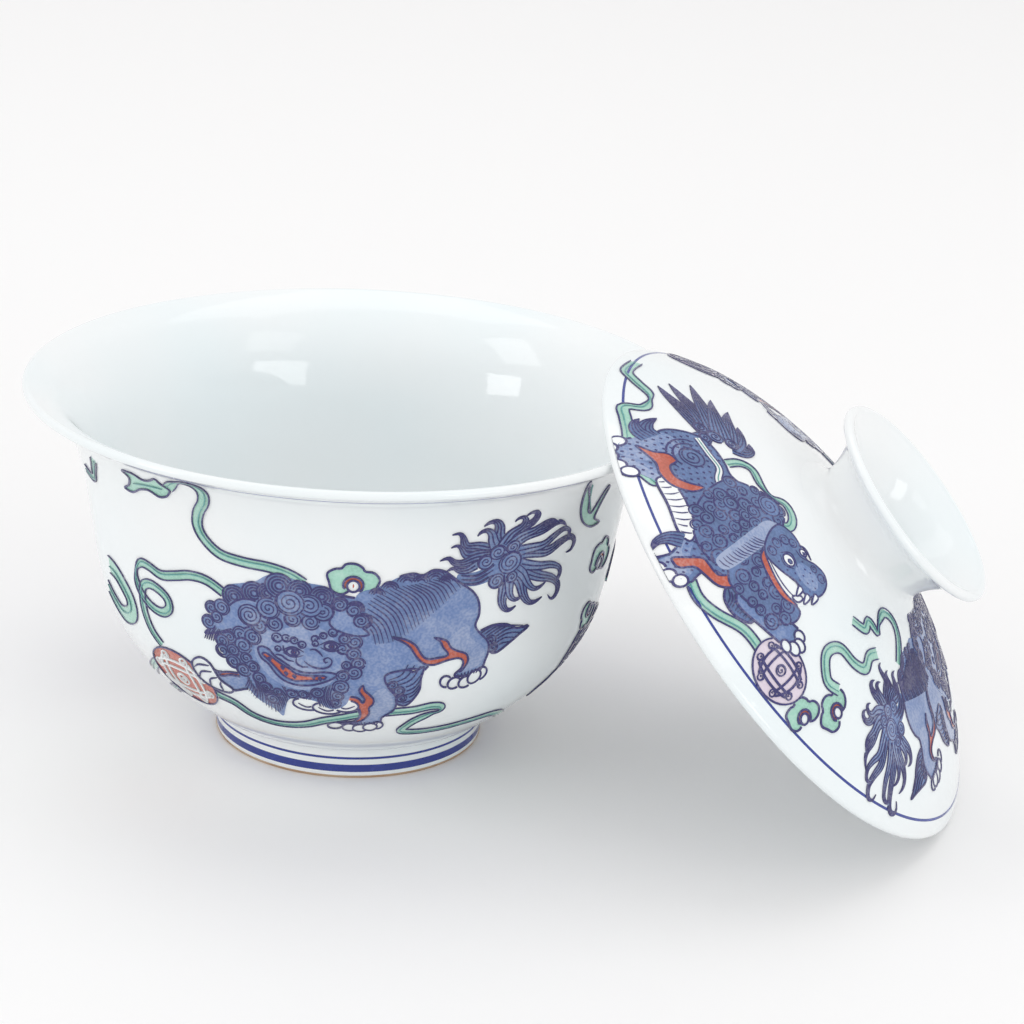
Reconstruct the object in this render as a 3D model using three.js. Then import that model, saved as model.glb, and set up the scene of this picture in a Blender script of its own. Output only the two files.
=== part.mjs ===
// A two-piece porcelain gaiwan: a flared tea bowl on a foot ring, and its domed lid with a cup-shaped
// knob. The lid is off the bowl: its lowest edge stands on the table and it leans on the bowl's lip.
// Millimetres, +Z up. The set stands on z = 0, with the origin at the centre of its footprint, and the
// lid leans on the bowl's +X side. Each of the two loose pieces is built from the two clay members that
// it was luted together from, with a thin seam of slip between them.
import * as THREE from "three";

// Driving dimensions
const mouthRadius = 52.5;
const bowlHeight = 58.8;
const footRadius = 21.5;
const footHeight = 5.7;
const lidRadius = 44.3;
const lidHeight = 16.4;
const crownCurve = 66; // radius of the sphere that the crown of the lid follows
const knobRadius = 17.7;
const knobTop = 26.5;
const lidTilt = THREE.MathUtils.degToRad(48.3);
const lidReach = 69.15; // from the bowl's axis to the middle of the lid's rim
const slipSeam = 0.3;
const turnSteps = 48;

// Clay thicknesses
const bowlLipWall = 1.4;
const bowlFootWall = 3.0;
const lidRimWall = 1.5;
const lidCrownWall = 3.0;
const knobLipWall = 1.6;

const porcelain = new THREE.MeshStandardMaterial({ color: 0xeef3f3, roughness: 0.08, metalness: 0 });
const bareClay = new THREE.MeshStandardMaterial({ color: 0xe9e2d6, roughness: 0.75, metalness: 0 });

const point = (radius, height) => new THREE.Vector2(radius, height);

// A smooth wall line through the given points, as evenly spaced points.
function wallLine(points, steps) {
  return new THREE.SplineCurve(points).getSpacedPoints(steps);
}

// The other face of a wall: each point of a line moved sideways by a thickness that runs from
// startWall at its first point to endWall at its last.
function otherFace(line, startWall, endWall) {
  return line.map((here, index) => {
    const before = line[Math.max(index - 1, 0)];
    const after = line[Math.min(index + 1, line.length - 1)];
    const along = after.clone().sub(before).normalize();
    const wall = THREE.MathUtils.lerp(startWall, endWall, index / (line.length - 1));
    return point(here.x - along.y * wall, here.y + along.x * wall);
  });
}

// A half-round edge from one face's last point to the other's, without those two points themselves.
function roundEdge(from, to, steps) {
  const middle = from.clone().add(to).multiplyScalar(0.5);
  const arm = from.clone().sub(middle);
  const edge = [];
  for (let step = 1; step < steps; step += 1) {
    edge.push(arm.clone().rotateAround(new THREE.Vector2(), (Math.PI * step) / steps).add(middle));
  }
  return edge;
}

// A solid of revolution about +Z. The profile runs anticlockwise with the radius to the right.
function turned(name, profile, material) {
  const geometry = new THREE.LatheGeometry(profile, turnSteps);
  geometry.rotateX(Math.PI / 2);
  const mesh = new THREE.Mesh(geometry, material);
  mesh.name = name;
  return mesh;
}

// The bowl's wall: a full belly over a flat base, upright sides and a lip that flares outwards.
function bowlBody() {
  const baseHeight = footHeight + slipSeam;
  const lipRound = bowlLipWall / 2;
  const outside = wallLine(
    [
      point(24.1, baseHeight),
      point(30.4, 11.1),
      point(35.0, 16.1),
      point(38.6, 22.2),
      point(40.6, 29.1),
      point(41.9, 37.0),
      point(43.3, 45.0),
      point(45.2, 50.8),
      point(48.4, 55.3),
      point(mouthRadius - lipRound * 0.5, bowlHeight - lipRound * 1.85),
    ],
    15,
  );
  const inside = otherFace(outside, bowlFootWall, bowlLipWall);
  const lip = roundEdge(outside[outside.length - 1], inside[inside.length - 1], 4);
  const floorHeight = baseHeight + bowlFootWall;
  const well = [point(16, floorHeight), point(0, floorHeight)];
  const profile = [point(0, baseHeight), ...outside, ...lip, ...inside.slice(1).reverse(), ...well];
  return turned("bowl_body", profile, porcelain);
}

// The foot ring: a short upright ring, bevelled to a narrow bare band that the bowl stands on.
function footRing() {
  const bevel = 0.5;
  const innerRadius = footRadius - 2.9;
  const profile = [
    point(innerRadius + bevel, 0),
    point(footRadius - bevel, 0),
    point(footRadius, bevel),
    point(footRadius + 0.7, footHeight),
    point(innerRadius - 0.5, footHeight),
    point(innerRadius, bevel),
    point(innerRadius + bevel, 0),
  ];
  return turned("foot_ring", profile, bareClay);
}

// The height of the lid's crown over its rim, at a distance from the lid's axis.
function crownHeight(radius) {
  return lidHeight - (radius * radius) / (2 * crownCurve);
}

// The lid's dome, in the lid's own frame: its rim lies on z = 0 and its crown is on +Z.
function lidDome() {
  const rimRound = lidRimWall / 2;
  const crownToRim = [
    point(0, crownHeight(0)),
    point(8, crownHeight(8)),
    point(14, crownHeight(14)),
    point(22, 12.7),
    point(30, 9.9),
    point(37, 6.5),
    point(42.1, 2.9),
    point(lidRadius - rimRound * 0.4, rimRound * 1.5),
  ];
  const outside = wallLine(crownToRim, 13).reverse();
  const inside = otherFace(outside, lidRimWall, lidCrownWall);
  inside[inside.length - 1].x = 0;
  const rim = roundEdge(inside[0], outside[0], 4);
  const profile = [...inside.reverse(), ...rim, ...outside];
  return turned("lid_dome", profile, porcelain);
}

// The knob: a hollow waisted ring on the crown, which flares into a cup and doubles as a stand.
function lidKnob() {
  const lipRound = knobLipWall / 2;
  const rootRadius = 13.7;
  const cupRadius = 9.3;
  const seat = (radius) => point(radius, crownHeight(radius) + slipSeam);
  const outside = wallLine(
    [
      seat(rootRadius),
      point(11.8, 17.2),
      point(12.2, 19.8),
      point(14.2, 23.2),
      point(knobRadius - lipRound * 0.5, knobTop - lipRound * 1.8),
    ],
    8,
  );
  const lipStart = outside[outside.length - 1];
  const lipEnd = point(lipStart.x - knobLipWall * 0.8, lipStart.y + knobLipWall * 0.6);
  const inside = wallLine(
    [
      lipEnd,
      point(12.2, 23.6),
      point(10.0, 20.4),
      point(9.3, 18.2),
      seat(cupRadius),
    ],
    7,
  );
  const lip = roundEdge(lipStart, lipEnd, 4);
  const foot = seat((rootRadius + cupRadius) / 2);
  const profile = [...outside, ...lip, ...inside, foot, seat(rootRadius)];
  return turned("lid_knob", profile, porcelain);
}

const bowl = new THREE.Group();
bowl.add(bowlBody(), footRing());

const lid = new THREE.Group();
lid.add(lidDome(), lidKnob());
lid.rotation.y = lidTilt;
lid.position.x = lidReach;
lid.position.z = -new THREE.Box3().setFromObject(lid, true).min.z;

const gaiwan = new THREE.Group();
gaiwan.add(bowl, lid);
const footprint = new THREE.Box3().setFromObject(gaiwan, true);
gaiwan.position.x = -(footprint.min.x + footprint.max.x) / 2;

export default gaiwan;
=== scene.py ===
"""A porcelain gaiwan, with its lid off and leaning on the bowl, painted with lions, ribbons and balls."""
import math

import bpy
import numpy as np
from mathutils import Matrix, Vector
from mathutils.geometry import delaunay_2d_cdt


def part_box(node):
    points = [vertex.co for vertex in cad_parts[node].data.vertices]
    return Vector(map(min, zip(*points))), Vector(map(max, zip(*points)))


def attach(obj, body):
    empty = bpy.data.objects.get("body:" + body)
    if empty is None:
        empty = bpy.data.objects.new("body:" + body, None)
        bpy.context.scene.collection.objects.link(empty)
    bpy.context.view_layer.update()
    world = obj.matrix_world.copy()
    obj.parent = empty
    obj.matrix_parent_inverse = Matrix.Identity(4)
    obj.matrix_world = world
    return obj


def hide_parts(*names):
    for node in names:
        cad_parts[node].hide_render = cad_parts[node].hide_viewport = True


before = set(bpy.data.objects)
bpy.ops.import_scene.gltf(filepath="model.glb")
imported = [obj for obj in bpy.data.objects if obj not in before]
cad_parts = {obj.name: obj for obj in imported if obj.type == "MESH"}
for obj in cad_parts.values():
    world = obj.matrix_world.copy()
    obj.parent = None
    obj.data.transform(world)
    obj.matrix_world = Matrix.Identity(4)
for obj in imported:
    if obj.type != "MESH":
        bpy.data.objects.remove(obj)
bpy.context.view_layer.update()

bl_info = {
    "name": "Porcelain Gaiwan",
    "version": (1, 0, 0),
    "blender": (4, 5, 0),
    "location": "View3D > Sidebar > Gaiwan",
    "description": "Makes a painted porcelain tea bowl with a leaning lid around its packed frame",
    "category": "Add Mesh",
}

MM = 0.001
FOOT_LOW, FOOT_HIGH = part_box("foot_ring")
BOWL_AXIS_X = (FOOT_LOW.x + FOOT_HIGH.x) / 2
LID_LEAN = math.radians(48.3)
LID_RADIUS = 44.3 * MM
LID_CENTRE = Vector((BOWL_AXIS_X + 69.15 * MM, 0, LID_RADIUS * math.sin(LID_LEAN)))
BOWL_PLACE = Matrix.Translation((BOWL_AXIS_X, 0, 0))
LID_PLACE = Matrix.Translation(LID_CENTRE) @ Matrix.Rotation(LID_LEAN, 4, "Y")
# The drawings for the bowl are flat sheets wrapped round it. One millimetre across a sheet is one
# millimetre round the bowl at this distance from its axis, and the sheet's middle faces this way.
SHEET_RADIUS = 41.0
SHEET_FACING = math.radians(-74.4)


# Curves

def smooth(points, steps=8, closed=False):
    """Points along a smooth curve through the given ones, with the same number of steps in each stretch."""
    points = [np.array(p, float) for p in points]
    count = len(points)
    if count < 3:
        return [tuple(points[0] + (points[-1] - points[0]) * k / steps) for k in range(steps + 1)]
    found = []
    for k in range(count if closed else count - 1):
        if closed:
            before, here, there, after = (points[(k + d) % count] for d in (-1, 0, 1, 2))
        else:
            before, here, there, after = (points[min(max(k + d, 0), count - 1)] for d in (-1, 0, 1, 2))
        leave, arrive = (there - before) / 2, (after - here) / 2
        for step in range(steps):
            t = step / steps
            bend = 2 * here - 2 * there + leave + arrive
            turn = 3 * there - 3 * here - 2 * leave - arrive
            found.append(tuple(bend * t**3 + turn * t**2 + leave * t + here))
    if not closed:
        found.append(tuple(points[-1]))
    return found


def lengths_along(line):
    """How far each point of a line is from its start, along it."""
    return np.concatenate([[0], np.cumsum(np.linalg.norm(np.diff(line, axis=0), axis=1))])


def evenly(points, spacing):
    """The same line with its points about one spacing apart."""
    points = np.array(points, float)
    along = lengths_along(points)
    steps = max(1, round(along[-1] / spacing))
    wanted = np.linspace(0, along[-1], steps + 1)
    return np.stack([np.interp(wanted, along, points[:, i]) for i in range(points.shape[1])], 1)


def across(line):
    """The unit vector to the left of a line at each of its points."""
    ahead = np.gradient(np.array(line, float), axis=0)
    ahead /= np.maximum(np.linalg.norm(ahead, axis=1), 1e-9)[:, None]
    return np.stack([-ahead[:, 1], ahead[:, 0]], 1)


def other_face(line, start_wall, end_wall):
    """The far face of a wall: the line moved to its left by a thickness that changes along it."""
    wall = np.linspace(start_wall, end_wall, len(line))[:, None]
    return np.array(line, float) + across(line) * wall


def round_edge(start, end, steps=10):
    """A half-round edge from one point to another, without those two points, turning anticlockwise."""
    start, end = np.array(start, float), np.array(end, float)
    middle, arm = (start + end) / 2, (start - end) / 2
    found = []
    for k in range(1, steps):
        c, s = math.cos(math.pi * k / steps), math.sin(math.pi * k / steps)
        found.append(tuple(middle + np.array([arm[0] * c - arm[1] * s, arm[0] * s + arm[1] * c])))
    return found


def rounded(corners, radius, steps=4):
    """A closed outline with each corner rounded by a small curve."""
    corners = [np.array(c, float) for c in corners]
    found = []
    for k, corner in enumerate(corners):
        into = corners[k - 1] - corner
        out = corners[(k + 1) % len(corners)] - corner
        start = corner + into / np.linalg.norm(into) * radius
        end = corner + out / np.linalg.norm(out) * radius
        for step in range(steps + 1):
            t = step / steps
            found.append(tuple(start * (1 - t) ** 2 + corner * 2 * t * (1 - t) + end * t**2))
    return found


# Clay profiles, in millimetres: distance from the axis, height

BOWL_HEIGHT = 58.8
MOUTH_RADIUS = 52.5
FOOT_HEIGHT = 5.7
SLIP_SEAM = 0.3
LID_HEIGHT = 16.4
CROWN_CURVE = 66.0
KNOB_RADIUS = 17.7
KNOB_TOP = 26.5


def bowl_outside(lip_wall=1.4):
    end = (MOUTH_RADIUS - lip_wall * 0.25, BOWL_HEIGHT - lip_wall * 0.925)
    wall = [(24.1, 6.0), (30.4, 11.1), (35.0, 16.1), (38.6, 22.2), (40.6, 29.1), (41.9, 37.0)]
    return smooth([*wall, (43.3, 45.0), (45.2, 50.8), (48.4, 55.3), end], 7)


def bowl_profile(lip_wall=1.4, foot_wall=3.0):
    outside = bowl_outside(lip_wall)
    inside = [tuple(p) for p in other_face(outside, foot_wall, lip_wall)]
    lip = round_edge(outside[-1], inside[-1])
    floor = FOOT_HEIGHT + SLIP_SEAM + foot_wall
    well = smooth([inside[0], (16, floor), (8, floor - 0.1), (0, floor - 0.15)], 6)
    base = [(0, 5.9), (8, 5.9), (18.4, 5.9)]
    tuck = smooth([(18.4, 5.9), (21.6, 5.75), (22.6, 5.35), (23.1, 5.5), (24.1, 6.0)], 4)
    return [*base[:-1], *tuck, *outside[1:], *lip, *inside[:0:-1], *well]


def foot_profile():
    bevel = 0.45
    outer, inner = 21.5, 18.6
    low = [(inner + bevel, 0.0), (outer - bevel, 0.0), (outer - 0.1, 0.2), (outer, bevel)]
    side = smooth([(outer, bevel), (outer + 0.25, 2.6), (outer + 0.7, 4.9), (outer + 1.6, 5.75)], 5)
    under = smooth([(18.0, 6.1), (18.1, 4.9), (inner - 0.15, 2.0), (inner, bevel)], 5)
    return [*low[:-1], *side, *under, low[0]]


def crown_height(radius):
    return LID_HEIGHT - radius**2 / (2 * CROWN_CURVE)


def dome_outside(rim_wall=1.5):
    end = (LID_RADIUS / MM - rim_wall * 0.2, rim_wall * 0.75)
    crown = [(r, crown_height(r)) for r in (0, 8, 14)]
    return smooth([*crown, (22, 12.7), (30, 9.9), (37, 6.5), (42.1, 2.9), end], 9)


def dome_profile(rim_wall=1.5, crown_wall=3.0):
    outside = dome_outside(rim_wall)[::-1]
    inside = [tuple(p) for p in other_face(outside, rim_wall, crown_wall)]
    inside[-1] = (0.0, inside[-1][1])
    rim = round_edge(inside[0], outside[0])
    return [*inside[::-1], *rim, *outside]


def knob_profile(lip_wall=1.6):
    start = (KNOB_RADIUS - lip_wall * 0.25, KNOB_TOP - lip_wall * 0.9)
    end = (start[0] - lip_wall * 0.8, start[1] + lip_wall * 0.6)
    root = crown_height(15.2)
    outside = smooth([(15.2, root - 0.1), (13.2, root + 0.75), (11.8, 17.2), (12.2, 19.8), (14.2, 23.2),
                      start], 6)
    inside = smooth([end, (12.2, 23.6), (10.0, 20.4), (9.2, 18.2), (8.3, 16.6), (6.0, 16.25), (0, 16.45)],
                    6)
    under = [(0, 15.6), (10, 15.0)]
    return [*under, *outside, *round_edge(start, end), *inside]


# Node trees

def new_tree(name, inputs):
    """An empty Geometry Nodes tree with a Geometry output, and the sockets of its named inputs."""
    tree = bpy.data.node_groups.new(name, "GeometryNodeTree")
    tree.interface.new_socket("Geometry", in_out="OUTPUT", socket_type="NodeSocketGeometry")
    tree.interface.new_socket("Geometry", in_out="INPUT", socket_type="NodeSocketGeometry")
    for label, kind in inputs.items():
        tree.interface.new_socket(label, in_out="INPUT", socket_type="NodeSocket" + kind)
    given = tree.nodes.new("NodeGroupInput")
    result = tree.nodes.new("NodeGroupOutput")
    return tree, given.outputs, result.inputs["Geometry"]


def add(tree, kind, inputs=None, out=0, **settings):
    """Adds a node with its settings and inputs, each a value or an output, and returns one output."""
    node = tree.nodes.new(kind)
    for name, value in settings.items():
        setattr(node, name, value)
    for name, value in (inputs or {}).items():
        if isinstance(name, int):
            socket = node.inputs[name]
        else:
            socket = next(s for s in node.inputs if s.name == name and s.enabled)
        for one in value if isinstance(value, list) else [value]:
            if isinstance(one, bpy.types.NodeSocket):
                tree.links.new(one, socket)
            else:
                socket.default_value = one
    if isinstance(out, int):
        return node.outputs[out]
    return next(s for s in node.outputs if s.name == out and s.enabled)


def maths(tree, operation, *values):
    return add(tree, "ShaderNodeMath", dict(enumerate(values)), operation=operation)


def turned_about_axis(tree, angle, place):
    """The point that a profile's point reaches when it is turned about the axis, which is Z."""
    across, up = (add(tree, "ShaderNodeSeparateXYZ", {"Vector": place}, out=k) for k in ("X", "Z"))
    x = maths(tree, "MULTIPLY", across, maths(tree, "COSINE", angle))
    y = maths(tree, "MULTIPLY", across, maths(tree, "SINE", angle))
    return add(tree, "ShaderNodeCombineXYZ", {"X": x, "Y": y, "Z": up})


def finish_tree(tree, geometry, material, result):
    whole = add(tree, "GeometryNodeRealizeInstances", {"Geometry": geometry})
    tree.links.new(add(tree, "GeometryNodeSetMaterial", {"Geometry": whole, "Material": material}), result)
    return tree


def turned_tree():
    """Turns a profile about the Z axis into one closed skin, then leans it and puts it in its place."""
    kinds = {"Profile": "Object", "Steps round": "Int", "Lean": "Float", "Centre": "Vector",
             "Material": "Material"}
    tree, given, result = new_tree("Turned clay", kinds)
    profile = add(tree, "GeometryNodeObjectInfo", {"Object": given["Profile"]}, out="Geometry")
    rows = add(tree, "GeometryNodeAttributeDomainSize", {"Geometry": profile}, out="Point Count")
    columns = maths(tree, "ADD", given["Steps round"], 1.0)
    size = {"Size X": 1.0, "Size Y": 1.0, "Vertices X": columns, "Vertices Y": rows}
    grid = add(tree, "GeometryNodeMeshGrid", size, out="Mesh")
    index = add(tree, "GeometryNodeInputIndex")
    row = maths(tree, "FLOORED_MODULO", index, rows)
    column = maths(tree, "FLOOR", maths(tree, "DIVIDE", maths(tree, "ADD", index, 0.5), rows))
    position = add(tree, "GeometryNodeInputPosition")
    source = {"Geometry": profile, "Value": position, "Index": row}
    place = add(tree, "GeometryNodeSampleIndex", source, out="Value", data_type="FLOAT_VECTOR")
    angle = maths(tree, "MULTIPLY", maths(tree, "DIVIDE", column, given["Steps round"]), math.tau)
    moved = {"Geometry": grid, "Position": turned_about_axis(tree, angle, place)}
    skin = add(tree, "GeometryNodeSetPosition", moved)
    skin = add(tree, "GeometryNodeMergeByDistance", {"Geometry": skin, "Distance": 2e-6})
    lean = add(tree, "ShaderNodeCombineXYZ", {"Y": given["Lean"]})
    placed = {"Geometry": skin, "Translation": given["Centre"], "Rotation": lean}
    skin = add(tree, "GeometryNodeTransform", placed)
    return finish_tree(tree, skin, given["Material"], result)


def painted_tree():
    """Lays flat paint on a turned surface: filled shapes and brush strokes become thin closed films.

    The guide is a straight line. Its length is the distance up the sheet, or out from the middle of a disc,
    and each of its points holds where that distance lies on the turned surface and which way that faces.
    """
    kinds = {
        "Strokes": "Object", "Guide": "Object", "Sheet radius": "Float", "Sheet facing": "Float",
        "Disc": "Bool", "Thickness": "Float", "Depth": "Float", "Lean": "Float", "Centre": "Vector",
        "Material": "Material",
    }
    tree, given, result = new_tree("Painted film", kinds)
    routes = add(tree, "GeometryNodeObjectInfo", {"Object": given["Strokes"]}, out="Geometry")
    brush = add(tree, "GeometryNodeMeshToCurve", {"Mesh": routes})
    half_width = add(tree, "GeometryNodeInputNamedAttribute", {"Name": "half_width"}, data_type="FLOAT")
    brush = add(tree, "GeometryNodeSetCurveNormal", {"Curve": brush}, mode="Z_UP")
    hair = add(tree, "GeometryNodeCurvePrimitiveLine", {"Start": (-1, 0, 0), "End": (1, 0, 0)})
    drawn = {"Curve": brush, "Profile Curve": hair, "Scale": half_width}
    strokes = add(tree, "GeometryNodeCurveToMesh", drawn)
    flat = add(tree, "GeometryNodeJoinGeometry", {"Geometry": [given["Geometry"], strokes]})
    normal = add(tree, "GeometryNodeInputNormal", out="Normal")
    tilt = add(tree, "ShaderNodeSeparateXYZ", {"Vector": normal}, out="Z")
    wrong = maths(tree, "LESS_THAN", tilt, 0.0)
    flat = add(tree, "GeometryNodeFlipFaces", {"Mesh": flat, "Selection": wrong})
    raised = {"Mesh": flat, "Offset": (0, 0, 1), "Offset Scale": 1.0, "Individual": False}
    top = add(tree, "GeometryNodeExtrudeMesh", raised)
    bottom = add(tree, "GeometryNodeFlipFaces", {"Mesh": flat})
    film = add(tree, "GeometryNodeJoinGeometry", {"Geometry": [top, bottom]})
    film = add(tree, "GeometryNodeMergeByDistance", {"Geometry": film, "Distance": 1e-7})

    position = add(tree, "GeometryNodeInputPosition")
    x, y, raised_by = (add(tree, "ShaderNodeSeparateXYZ", {"Vector": position}, out=k) for k in "XYZ")
    wrapped = maths(tree, "ADD", maths(tree, "DIVIDE", x, given["Sheet radius"]), given["Sheet facing"])
    polar = maths(tree, "ARCTAN2", y, x)
    angle = add(tree, "GeometryNodeSwitch", {"Switch": given["Disc"], "False": wrapped, "True": polar},
                input_type="FLOAT")
    out = maths(tree, "SQRT", maths(tree, "ADD", maths(tree, "MULTIPLY", x, x),
                                    maths(tree, "MULTIPLY", y, y)))
    reach = add(tree, "GeometryNodeSwitch", {"Switch": given["Disc"], "False": y, "True": out},
                input_type="FLOAT")
    guide = add(tree, "GeometryNodeObjectInfo", {"Object": given["Guide"]}, out="Geometry")
    guide = add(tree, "GeometryNodeMeshToCurve", {"Mesh": guide})
    found = []
    for name in ("place", "facing"):
        value = add(tree, "GeometryNodeInputNamedAttribute", {"Name": name}, data_type="FLOAT_VECTOR")
        sample = {"Curves": guide, "Value": value, "Length": reach}
        kind = {"mode": "LENGTH", "data_type": "FLOAT_VECTOR"}
        vector = add(tree, "GeometryNodeSampleCurve", sample, out="Value", **kind)
        vector = turned_about_axis(tree, angle, vector)
        turn = {"Vector": vector, "Angle": given["Lean"]}
        found.append(add(tree, "ShaderNodeVectorRotate", turn, rotation_type="Y_AXIS"))
    order = add(tree, "GeometryNodeInputNamedAttribute", {"Name": "order"}, data_type="FLOAT")
    full = maths(tree, "ADD", given["Thickness"], maths(tree, "MULTIPLY", order, 1e-6))
    height = maths(tree, "SUBTRACT", maths(tree, "MULTIPLY", raised_by,
                                           maths(tree, "ADD", full, given["Depth"])),
                   given["Depth"])
    lift = add(tree, "ShaderNodeVectorMath", {0: found[1], "Scale": height}, operation="SCALE")
    place = add(tree, "ShaderNodeVectorMath", {0: found[0], 1: lift}, operation="ADD")
    place = add(tree, "ShaderNodeVectorMath", {0: place, 1: given["Centre"]}, operation="ADD")
    kept = {"Geometry": film, "Name": "facing_out", "Value": found[1]}
    film = add(tree, "GeometryNodeStoreNamedAttribute", kept, data_type="FLOAT_VECTOR", domain="POINT")
    film = add(tree, "GeometryNodeSetPosition", {"Geometry": film, "Position": place})
    facing = add(tree, "GeometryNodeInputNamedAttribute", {"Name": "facing_out"}, data_type="FLOAT_VECTOR")
    film = add(tree, "GeometryNodeSetMeshNormal", {"Mesh": film, "Custom Normal": facing}, mode="FREE",
               domain="POINT")
    return finish_tree(tree, film, given["Material"], result)


def shared_tree(name, make):
    return bpy.data.node_groups.get(name) or make()


def line_object(name, points, vectors=None):
    """A hidden chain of edges through the points, in metres, with any vectors kept on its points."""
    mesh = bpy.data.meshes.new(name)
    edges = [(k, k + 1) for k in range(len(points) - 1)]
    mesh.from_pydata([Vector(p) for p in points], edges, [])
    for label, values in (vectors or {}).items():
        mesh.attributes.new(label, "FLOAT_VECTOR", "POINT").data.foreach_set("vector", np.ravel(values))
    return bpy.data.objects.new(name, mesh)


def run_tree(name, tree, base, values):
    """Runs a tree on a mesh and returns its result as a plain object, with no modifier left."""
    maker = bpy.data.objects.new(name + "_maker", base)
    bpy.context.scene.collection.objects.link(maker)
    modifier = maker.modifiers.new("Nodes", "NODES")
    modifier.node_group = tree
    for item in tree.interface.items_tree:
        if item.in_out == "INPUT" and item.name in values:
            modifier[item.identifier] = values[item.name]
    bpy.context.view_layer.update()
    graph = bpy.context.evaluated_depsgraph_get()
    mesh = bpy.data.meshes.new_from_object(maker.evaluated_get(graph), depsgraph=graph)
    maker.modifiers.clear()
    bpy.data.objects.remove(maker)
    if not mesh.polygons:
        raise RuntimeError(f"{name} came out empty")
    mesh.name = name
    material = next(m for m in mesh.materials if m)
    mesh.materials.clear()
    mesh.materials.append(material)
    mesh.polygons.foreach_set("material_index", [0] * len(mesh.polygons))
    piece = bpy.data.objects.new(name, mesh)
    bpy.context.scene.collection.objects.link(piece)
    return piece


def volume(mesh):
    mesh.calc_loop_triangles()
    corners = np.array([[mesh.vertices[i].co for i in t.vertices] for t in mesh.loop_triangles])
    return float(np.einsum("ij,ij->i", corners[:, 0], np.cross(corners[:, 1], corners[:, 2])).sum() / 6)


def turned(name, profile, place, material, steps=192, sharp=40):
    """A closed solid of revolution from a profile in millimetres, smooth but for its true edges."""
    guide = line_object(name + "_profile", [(r * MM, 0, h * MM) for r, h in profile])
    lean = place.to_euler().y
    values = {"Profile": guide, "Steps round": steps, "Lean": lean, "Centre": place.to_translation(),
              "Material": material}
    tree = shared_tree("Turned clay", turned_tree)
    piece = run_tree(name, tree, bpy.data.meshes.new(name + "_base"), values)
    bpy.data.objects.remove(guide)
    if volume(piece.data) < 0:
        piece.data.flip_normals()
    piece.data.shade_smooth()
    piece.data.set_sharp_from_angle(angle=math.radians(sharp))
    return piece


# Finishes

def finish(name, colour, roughness, build):
    """A finish by name. build adds what is its own to the node tree."""
    material = bpy.data.materials.new(name)
    material.use_nodes = True
    tree = material.node_tree
    shader = tree.nodes["Principled BSDF"]
    shader.inputs["Base Color"].default_value = (*colour, 1)
    shader.inputs["Roughness"].default_value = roughness
    shader.inputs["IOR"].default_value = 1.5
    build(tree, shader, colour)
    return material


def object_point(tree):
    return add(tree, "ShaderNodeTexCoord", out="Object")


def noise(tree, scale, detail):
    inputs = {"Vector": object_point(tree), "Scale": scale, "Detail": detail, "Roughness": 0.5}
    return add(tree, "ShaderNodeTexNoise", inputs, out="Fac")


def stretch(tree, value, low, high, to_low, to_high):
    inputs = {"Value": value, "From Min": low, "From Max": high, "To Min": to_low, "To Max": to_high}
    return add(tree, "ShaderNodeMapRange", inputs, out="Result")


def mixed(tree, factor, first, second):
    """One colour blended into another. Each is a colour or an output."""
    def value(colour):
        return colour if isinstance(colour, bpy.types.NodeSocket) else (*colour, 1)
    inputs = {"Factor": factor, "A": value(first), "B": value(second)}
    return add(tree, "ShaderNodeMix", inputs, out="Result", data_type="RGBA")


def porcelain_look(tree, shader, colour):
    """White clay under a faintly blue clear glaze, a little bluer where the glaze has pooled."""
    pooled = tuple(c * f for c, f in zip(colour, (0.93, 0.985, 1.0)))
    cloud = stretch(tree, noise(tree, 28.0, 1.0), 0.35, 0.7, 0.0, 1.0)
    tree.links.new(mixed(tree, cloud, colour, pooled), shader.inputs["Base Color"])


def wash_look(tree, shader, colour):
    """A colour laid on with a wet brush: it varies in strength, and tone says how pale each patch is."""
    pale = tuple(c + (1 - c) * 0.24 for c in colour)
    deep = tuple(c * 0.62 for c in colour)
    tone = add(tree, "ShaderNodeAttribute", out="Fac", attribute_name="tone")
    patch = stretch(tree, noise(tree, 260.0, 2.0), 0.3, 0.7, -0.16, 0.16)
    speck = stretch(tree, noise(tree, 2600.0, 0.0), 0.35, 0.65, -0.10, 0.10)
    strength = maths(tree, "ADD", tone, maths(tree, "ADD", patch, speck))
    strength = add(tree, "ShaderNodeClamp", {"Value": strength})
    lower = mixed(tree, stretch(tree, strength, 0.0, 0.5, 0.0, 1.0), deep, colour)
    whole = mixed(tree, stretch(tree, strength, 0.5, 1.0, 0.0, 1.0), lower, pale)
    tree.links.new(whole, shader.inputs["Base Color"])


def clay_look(tree, shader, colour):
    """Bare fired clay, with a fine grain and a rusty flush."""
    rusty = (colour[0] * 0.62, colour[1] * 0.42, colour[2] * 0.26)
    flush = stretch(tree, noise(tree, 90.0, 3.0), 0.35, 0.75, 0.25, 0.95)
    tree.links.new(mixed(tree, flush, colour, rusty), shader.inputs["Base Color"])
    bump = {"Height": noise(tree, 2400.0, 4.0), "Strength": 0.5, "Distance": 0.0001}
    tree.links.new(add(tree, "ShaderNodeBump", bump), shader.inputs["Normal"])


# Drawing on flat sheets, in millimetres

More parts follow.
